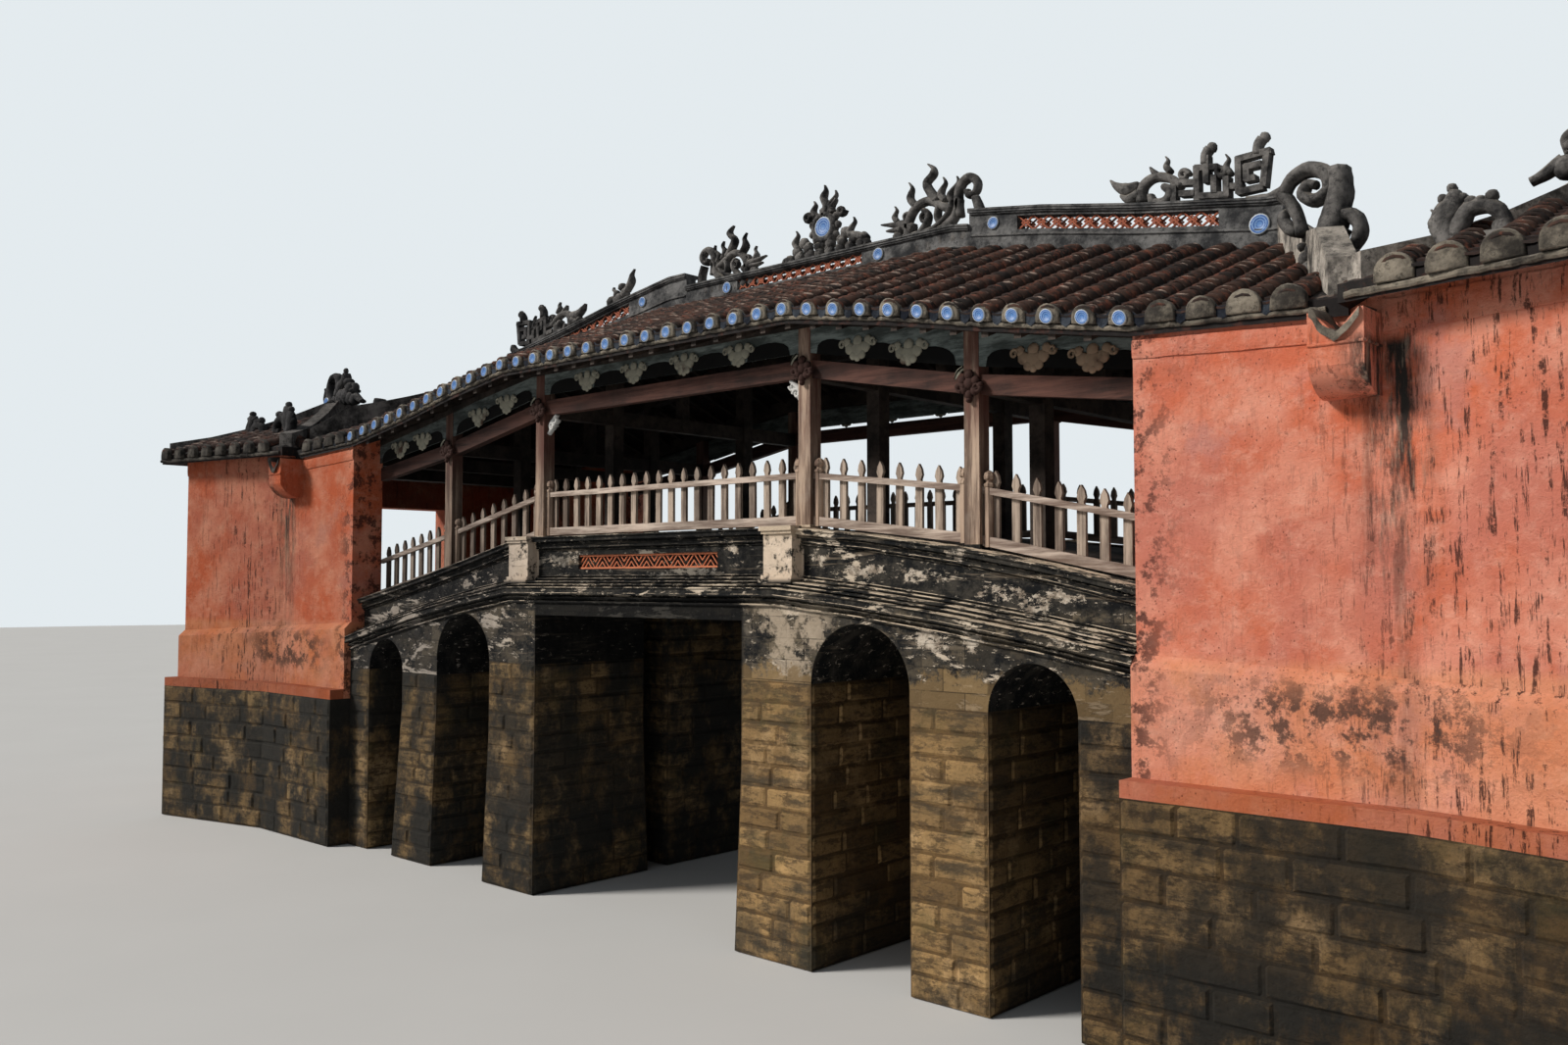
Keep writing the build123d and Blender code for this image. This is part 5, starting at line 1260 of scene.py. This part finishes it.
# Carving under the eaves: scallop openings as painted black shadow sheets, lotus drops, post knots and pale
# corner scrolls
def beam_foot(x):
    """Underside of the eave beam, level over the middle bay and falling outward."""
    return 5.66 - between(((CENTER_POST, 0), (SIDE_POST, 0.37), (WALL_START, 0.6)), abs(x))


BAYS = ((-2.1, 2.1), (2.26, 4.1), (4.26, 5.96), (-4.1, -2.26), (-5.96, -4.26))
POSTS = (-SIDE_POST, -CENTER_POST, CENTER_POST, SIDE_POST)
RAFTER_FACES = [(0, 1, 2, 3), (4, 7, 6, 5), (0, 4, 5, 1), (1, 5, 6, 2), (3, 2, 6, 7), (0, 3, 7, 4)]
lotus, ochre, scallops, rafters, knots, scrolls = (Shape() for index in range(6))
for face in SIDES:
    for start, end in BAYS:
        count = 5 if start < 0 < end else 3
        step = (end - start) / count
        for index in range(count + 1):
            u = start + index * step
            foot = beam_foot(u) + 0.27

            def place(a, b, d, u=u, foot=foot, face=face):
                return Vector((u + a, face * (FRIEZE_FACE + 0.5 * abs(d)), foot + b))

            if 0 < index < count:
                c = Carving(ochre if u > SIDE_POST else lotus, place)
                for a, b, half in ((0, 4.5, 7), (-7.5, 6, 5), (7.5, 6, 5), (-4, 0, 4.2), (4, 0, 4.2),
                                   (0, -2.5, 3.5), (0, 12, 5), (-10, 12, 4), (10, 12, 4)):
                    c.lump(1.3 * a, 1.1 * b, 1.2 * half, 3)
                for way in (1, -1):
                    c.curl(-19 * way, 11.5, 4.2, way, 1.6)
            if index < count:
                # painted shadow: a black arch-shaped sheet just in front of the frieze in each bay
                middle = u + step / 2
                low = beam_foot(middle) + 0.255
                slant = (beam_foot(u + step) - beam_foot(u)) / step
                arc = []
                for turn in range(9):
                    a = 0.36 * step * cos(pi * turn / 8)
                    b = 0.15 * sin(pi * turn / 8) ** 0.7
                    arc.append(Vector((middle + a, face * 2.381, low + slant * a + b)))
                arc += [arc[8] - Vector((0, 0, 0.012)), arc[0] - Vector((0, 0, 0.012))]
                scallops.add(arc, [tuple(range(11)) if face < 0 else tuple(reversed(range(11)))])
    for x in COLUMNS:
        if abs(x) < 5.9:
            points = []
            for run in (0.15, EAVE - 0.03):
                level = roof_top(x, run) - ROOF_THICKNESS
                points += [(x + u, face * run, level + w)
                           for u, w in ((-0.035, -0.055), (0.035, -0.055), (0.035, 0.004), (-0.035, 0.004))]
            rafters.add(points, RAFTER_FACES)
    for x in POSTS:
        foot = min(beam_foot(x - 0.08), beam_foot(x + 0.08))

        def place(a, b, d, x=x, foot=foot, face=face):
            return Vector((x + a, face * (FRIEZE_FACE + 0.02 + abs(d)), foot + b))

        c = Carving(knots, place)
        c.lumps([(0, 10, 6), (-7, 13, 4.5), (7, 12, 4.5), (-5, 5, 4.5), (6, 3, 4.5), (0, 0, 4.5),
                 (-12, 8, 3.5), (12, 7, 3.5), (0, 18, 5), (0, -5, 2.8)], 4.5)
        for way in (1, -1):
            c.curl(-9 * way, 6, 4.5, way, 2)
        Carving(lotus, place).stroke([(-15, 15, 1.2), (-12, 21, 2), (-6, 25, 1.8)], 2)
    for inward in SIDES:
        def place(a, b, d, inward=inward, face=face):
            return Vector((inward * (CENTER_POST - 0.085 - a), face * OUTER_ROW + d, 5.655 + b))

        c = Carving(scrolls, place)
        c.stroke([(0, -22, 2.2), (5, -17, 2.6), (4, -10, 2.4), (10, -5, 2.4), (16, 0, 2)], 3)
        c.curl(7, -14, 5.5, 1, 2)
        c.curl(13, -6, 4.5, -1, 1.8)
LOTUS = plain_clay("faded cream paint", (0.33, 0.31, 0.24), (0.19, 0.19, 0.155), 16)
# painted shadow: near-black sheets that stand for the shaded scallop openings of the frieze
SHADOW = timber("painted shadow sheet", (0.3, 0.3, 0.3), (0.003, 0.003, 0.003), (0.0015, 0.0015, 0.0015), 0, 1)
WHITE = plain_clay("whitewashed scroll", (0.62, 0.62, 0.6), (0.46, 0.46, 0.44), 16)
lotus.build("lotus_drops", LOTUS, "painted_timber", True)
ochre.build("ochre_lotus_drops", plain_clay("faded ochre paint", (0.2, 0.13, 0.085), (0.3, 0.22, 0.15), 16),
            "painted_timber", True)
scallops.build("frieze_scallop_shadows", SHADOW, "dark_timber")
rafters.build("rafters", DARK_WOOD, "dark_timber")
knots.build("post_knots", plain_clay("worn red carving", (0.05, 0.02, 0.015), (0.022, 0.011, 0.009), 14),
            "dark_timber", True)
scrolls.build("corner_scrolls", WHITE, "painted_timber", True)


# Stone mouldings that run along the parapets in curves
LEDGE_FALLS = {1: (0.235, 0.59), -1: (0.43, 0.77)}
CORNICE_FALLS = {1: (0.22, 0.51), -1: (0.32, 0.7)}
STATIONS = (CENTER_POST, (CENTER_POST + SIDE_POST) / 2, SIDE_POST, (SIDE_POST + WALL_START) / 2, WALL_START)


def course_level(level, falls, x):
    """Level of a parapet course, straight between the stations of its curve."""
    middle, end = falls[1 if x > 0 else -1]
    a, b, c = CENTER_POST, SIDE_POST, WALL_START

    def fall(run):
        if run <= a:
            return 0
        near, far = middle * (run - c) / ((b - a) * (b - c)), end * (run - b) / ((c - a) * (c - b))
        return (near + far) * (run - a)

    return level - between([(run, fall(run)) for run in STATIONS], abs(x))


def strip(shape, spots, out, depth, height, wear=0.25):
    """Moulding along the spots, rounded outward and chipped a little."""
    points = []
    for spot in spots:
        push = depth * (1 - wear * random.random())
        tall = height * (1 - 0.3 * wear * random.random())
        for d, w in ((-0.01, -0.5), (0.65, -0.5), (1, -0.2), (1, 0.25), (0.7, 0.5), (-0.01, 0.5)):
            reach = push * d if d > 0 else d
            points.append(Vector(spot) + out * reach + Vector((0, 0, tall * w)))
    ends = [tuple(reversed(range(6))), tuple(range(len(points) - 6, len(points)))]
    shape.add(points, tube(len(spots), 6) + ends)


parapet_places = [WALL_START * index / 60 for index in range(-60, 61)]
mouldings = Shape()
for face in SIDES:
    for level, falls, reach, depth, height in (
        (3.385, CORNICE_FALLS, 2.78, 0.035, 0.03), (3.44, CORNICE_FALLS, 2.81, 0.03, 0.02),
        (3.485, CORNICE_FALLS, 2.87, 0.014, 0.022), (3.55, CORNICE_FALLS, 2.87, 0.018, 0.018),
        (3.582, CORNICE_FALLS, 2.68, 0.13, 0.026), (3.615, CORNICE_FALLS, 2.68, 0.075, 0.028),
        (3.65, CORNICE_FALLS, 2.58, 0.06, 0.03), (3.685, CORNICE_FALLS, 2.58, 0.022, 0.016),
        (3.99, LEDGE_FALLS, 2.58, 0.016, 0.016), (4.018, LEDGE_FALLS, 2.58, 0.05, 0.024),
        (4.06, LEDGE_FALLS, 2.62, 0.016, 0.02), (4.138, LEDGE_FALLS, 2.68, 0.022, 0.022),
    ):
        spots = [(x, face * reach, course_level(level, falls, x)) for x in parapet_places]
        strip(mouldings, spots, face * Y_AXIS, depth, height)
    for side in SIDES:
        for grow, low, high, reach in ((0.025, 4.115, 4.158, 2.765), (0.012, 4.085, 4.115, 2.745),
                                       (0.014, 3.64, 3.68, 2.745), (0.03, 3.6, 3.64, 2.77)):
            near, far = sorted((face * 2.6, face * reach))
            middle, half = side * PEDESTAL, 0.19 + grow
            mouldings.add(box_points((middle - half, near, low), (middle + half, far, high)), BOX_FACES)
mouldings.build("parapet_mouldings", RENDER, "arcade_stone")

# Finer terracotta lattice in the parapet windows
bars = Shape()
foot, head, cells = 3.774, 3.916, 9
wide, tall = 1.14 / cells, head - foot
for face in SIDES:
    def place(u, w, d, face=face):
        return Vector((u, face * 2.54 + d, w))

    c = Carving(bars, place, 1)
    for level in (foot, head):
        c.bar((-1.15, level), (1.15, level), 0.01, 0.02)
    for index in range(2 * cells):
        u = -1.14 + index * wide
        for lift in (-0.5, 0, 0.5):
            ends = []
            for share in (max(0, -lift), min(1, 1 - lift)):
                ends.append((u + wide * (1 - share if index % 2 else share), foot + tall * (lift + share)))
            c.bar(*ends, 0.0055, 0.007)
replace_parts(bars.build("parapet_lattice_bars", LATTICE, "terracotta"), "parapet_lattices")


# Pickets with notched spear heads, in the places of the plain ones
def picket_places(node):
    """Middle, foot and point of each picket of the node."""
    spots = sorted((node.matrix_world @ vertex.co for vertex in node.data.vertices), key=lambda spot: spot.x)
    groups = [[spots[0]]]
    for spot in spots[1:]:
        if spot.x - groups[-1][-1].x > 0.05:
            groups.append([])
        groups[-1].append(spot)
    places = []
    for group in groups:
        low, high = min(spot.x for spot in group), max(spot.x for spot in group)
        places.append(((low + high) / 2, (high - low) / 2, min(spot.z for spot in group),
                       max(spot.z for spot in group)))
    return places


for name, piece_name in (("front_pickets", "spear_pickets_front"), ("back_pickets", "spear_pickets_back")):
    spears = Shape()
    ys = [(nodes[name].matrix_world @ vertex.co).y for vertex in nodes[name].data.vertices]
    for x, half, foot, tip in picket_places(nodes[name]):
        half *= random.uniform(0.9, 1)
        side_points = [(half, foot), (half, tip - 0.185), (half * 0.58, tip - 0.16),
                       (half * 0.58, tip - 0.145), (half, tip - 0.105), (half * 0.72, tip - 0.05)]
        outline = side_points + [(0, tip)] + [(-u, w) for u, w in reversed(side_points)]
        lean = random.uniform(-0.008, 0.008)
        size = len(outline)
        points = [(x + u + lean * (w - foot), y, w) for y in (min(ys), max(ys)) for u, w in outline]
        faces = [tuple(range(size)), tuple(reversed(range(size, 2 * size)))]
        faces += [(step, step + size, (step + 1) % size + size, (step + 1) % size) for step in range(size)]
        spears.add(points, faces)
    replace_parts(spears.build(piece_name, PICKET_WOOD, "weathered_timber"), name)


def lathe(shape, centre, profile, sides=8):
    """Turned shape; profile holds the radius and height of each ring."""
    points = []
    for radius, level in profile:
        for step in range(sides):
            turn = tau * (step + 0.5) / sides
            points.append(Vector(centre) + Vector((radius * cos(turn), radius * sin(turn), level)))
    shape.add(points, tube(len(profile), sides) + [tuple(range(len(points) - sides, len(points)))])


def deck_level(x):
    """Top of the ledge that the newels stand on."""
    middle, end = LEDGE_FALLS[1 if x > 0 else -1]
    return 4.15 - between(((CENTER_POST, 0), (SIDE_POST, middle), (WALL_START, end)), abs(x))


newels = Shape()
for face in SIDES:
    for post in POSTS:
        for way in SIDES:
            x = post + way * 0.13
            lathe(newels, (x, face * OUTER_ROW, deck_level(x)), (
                (0.047, 0.03), (0.047, 0.56), (0.055, 0.57), (0.055, 0.59), (0.034, 0.605), (0.034, 0.62),
                (0.052, 0.635), (0.056, 0.66), (0.045, 0.69), (0.015, 0.71), (0, 0.715)))
newels.build("newels", POST_WOOD, "weathered_timber")


# Thin mortar edge under the eave caps
def ragged(level):
    """Level of a spot on an edge that was laid by hand."""
    return level + random.uniform(-0.004, 0.004)


edging = Shape()
for face in SIDES:
    places = [x * 0.05 for x in range(-149, 150)]
    spots = [(x, face * EAVE, ragged(roof_top(x, EAVE) - 0.072)) for x in places]
    strip(edging, spots, face * Y_AXIS, 0.035, 0.04, 0.5)
    places = [VALLEY + 0.05 + (GATE_END - VALLEY - 0.05) * index / 45 for index in range(46)]
    for side in SIDES:
        spots = [(side * x, face * gate_run(x), ragged(gate_top(x, gate_run(x)) - 0.085)) for x in places]
        strip(edging, spots, face * Y_AXIS, 0.04, 0.05, 0.5)
for side in SIDES:
    spots = [(side * GATE_END, y * 0.07, GATE_EAVE + ROOF_THICKNESS - 0.085) for y in range(-48, 49)]
    strip(edging, spots, side * X_AXIS, 0.02, 0.05, 0.5)
edging.build("eave_edging", CAP_MORTAR, "mortar")

# Plaster band along the head of the red walls, and the moulding and mortar lip of each spout
bands, lips = Shape(), Shape()
for face in SIDES:
    out = face * Y_AXIS
    for side in SIDES:
        places = [WALL_START + (7.42 - WALL_START) * index / 16 for index in range(17)]
        head = [roof_top(x, ARCADE_FACE) - ROOF_THICKNESS - 0.115 for x in places]
        spots = [(side * x, face * ARCADE_FACE, level) for x, level in zip(places, head)]
        strip(bands, spots, out, 0.022, 0.15, 0.3)
        places = [7.81 + (WALL_END - 7.81) * index / 24 for index in range(25)]
        strip(bands, [(side * x, face * wall_line(x), 5.415) for x in places], out, 0.022, 0.23, 0.3)
        spots = [(side * (SPOUT[0] + 0.37 * index / 6), face * 3.13, 5.205) for index in range(7)]
        strip(bands, spots, out, 0.016, 0.022, 0.3)
        spots = [(side * SPOUT[1], face * (2.8 + 0.33 * index / 6), 5.205) for index in range(7)]
        strip(bands, spots, side * X_AXIS, 0.014, 0.022, 0.3)
        points = []
        for reach, drop in ((2.79, 0.02), (2.95, 0.01), (3.11, 0), (3.155, -0.015), (3.16, -0.075)):
            for index in range(13):
                share = index / 6 - 1
                rise = 0.155 * abs(share) ** 1.25 + (0.03 if share < -0.8 else 0)
                rise += 0.012 * noise.noise((share * 3, reach * 9, side * 2))
                points.append((side * 7.615 + 0.165 * share, face * reach, 5.285 + rise + drop))
        lips.add(points, [(row + b, row + b + 1, row + b + 14, row + b + 13)
                          for row in range(0, 52, 13) for b in range(12)])
bands.build("wall_bands", WALL, "limewash")
lips.build("spout_lips", CAP_MORTAR, "mortar", True)

# Rolls under the caps of the ridge walls
rolls = Shape()
for face in SIDES:
    for start, end, height in ((-2.02, 2.6, MIDDLE_RIDGE), (2.62, 6.1, SIDE_RIDGE),
                               (-6.1, -2.04, SIDE_RIDGE)):
        places = [start + (end - start) * index / 40 for index in range(41)]
        for reach, rise, depth, tall in ((0.085, height - 0.062, 0.028, 0.024),
                                         (0.085, 0.045 if height == MIDDLE_RIDGE else 0.165, 0.02, 0.022),
                                         (0.125, height - 0.022, 0.012, 0.014)):
            spots = [(x, face * reach, RIDGE_LEVEL - roof_fall(x) + rise) for x in places]
            strip(rolls, spots, face * Y_AXIS, depth, tall)
rolls.build("ridge_rolls", RIDGE_MORTAR, "mortar")


# Stage: a plain pale floor, a plain pale backdrop and soft light
def stage_piece(name, points, faces, shader):
    """Floor or backdrop, which isn't a part of the bridge."""
    mesh = bpy.data.meshes.new(name)
    mesh.from_pydata(points, [], faces)
    mesh.materials.append(shader.finish())
    piece = bpy.data.objects.new(name, mesh)
    scene.collection.objects.link(piece)
    piece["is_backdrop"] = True
    return piece


pale_floor = Shader("pale floor", 0.9, 0.1)
pale_floor.body = pale_floor.mix(pale_floor.noise(0.4, 3), (0.53, 0.53, 0.52), (0.57, 0.57, 0.56))
stage_piece("floor", [(-112, -112, -0.01), (112, -112, -0.01), (112, 112, -0.01), (-112, 112, -0.01)],
            [(0, 1, 2, 3)], pale_floor)

pale_sky = Shader("pale backdrop", 1, 0)
pale_sky.body = (0, 0, 0)
pale_sky.put(pale_sky.surface.inputs["Emission Color"], (0.775, 0.83, 0.86))
pale_sky.surface.inputs["Emission Strength"].default_value = 1
ring = [tau * step / 48 for step in range(48)]
sky_points = [(110 * cos(turn), 110 * sin(turn), level) for level in (-0.02, 90) for turn in ring]
sky = stage_piece("backdrop", sky_points, tube(2, 48) + [tuple(range(48, 96))], pale_sky)
sky.visible_diffuse = sky.visible_glossy = sky.visible_shadow = False

world = bpy.data.worlds.new("studio")
world.use_nodes = True
background = world.node_tree.nodes["Background"]
background.inputs["Color"].default_value = (0.8, 0.86, 0.92, 1)
background.inputs["Strength"].default_value = 0.32
scene.world = world

sun_data = bpy.data.lights.new("key", "SUN")
sun_data.energy = 3.9
sun_data.angle = radians(14)
sun_data.color = (1, 0.95, 0.89)
sun = bpy.data.objects.new("key", sun_data)
sun.rotation_mode = "QUATERNION"
sun.rotation_quaternion = Vector((0.55, 0.66, -0.58)).to_track_quat("-Z", "Y")
scene.collection.objects.link(sun)

scene.view_settings.view_transform = "Standard"

camera_data = bpy.data.cameras.new("camera")
camera_data.sensor_width = 36
camera_data.lens = 1310 / 1600 * 36
camera_data.clip_end = 300
camera = bpy.data.objects.new("camera", camera_data)
camera.location = (10.687, -11.89, 3.6)
camera.rotation_euler = (radians(92.7097), 0, radians(42.7246))
scene.collection.objects.link(camera)
scene.camera = camera

low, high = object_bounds()
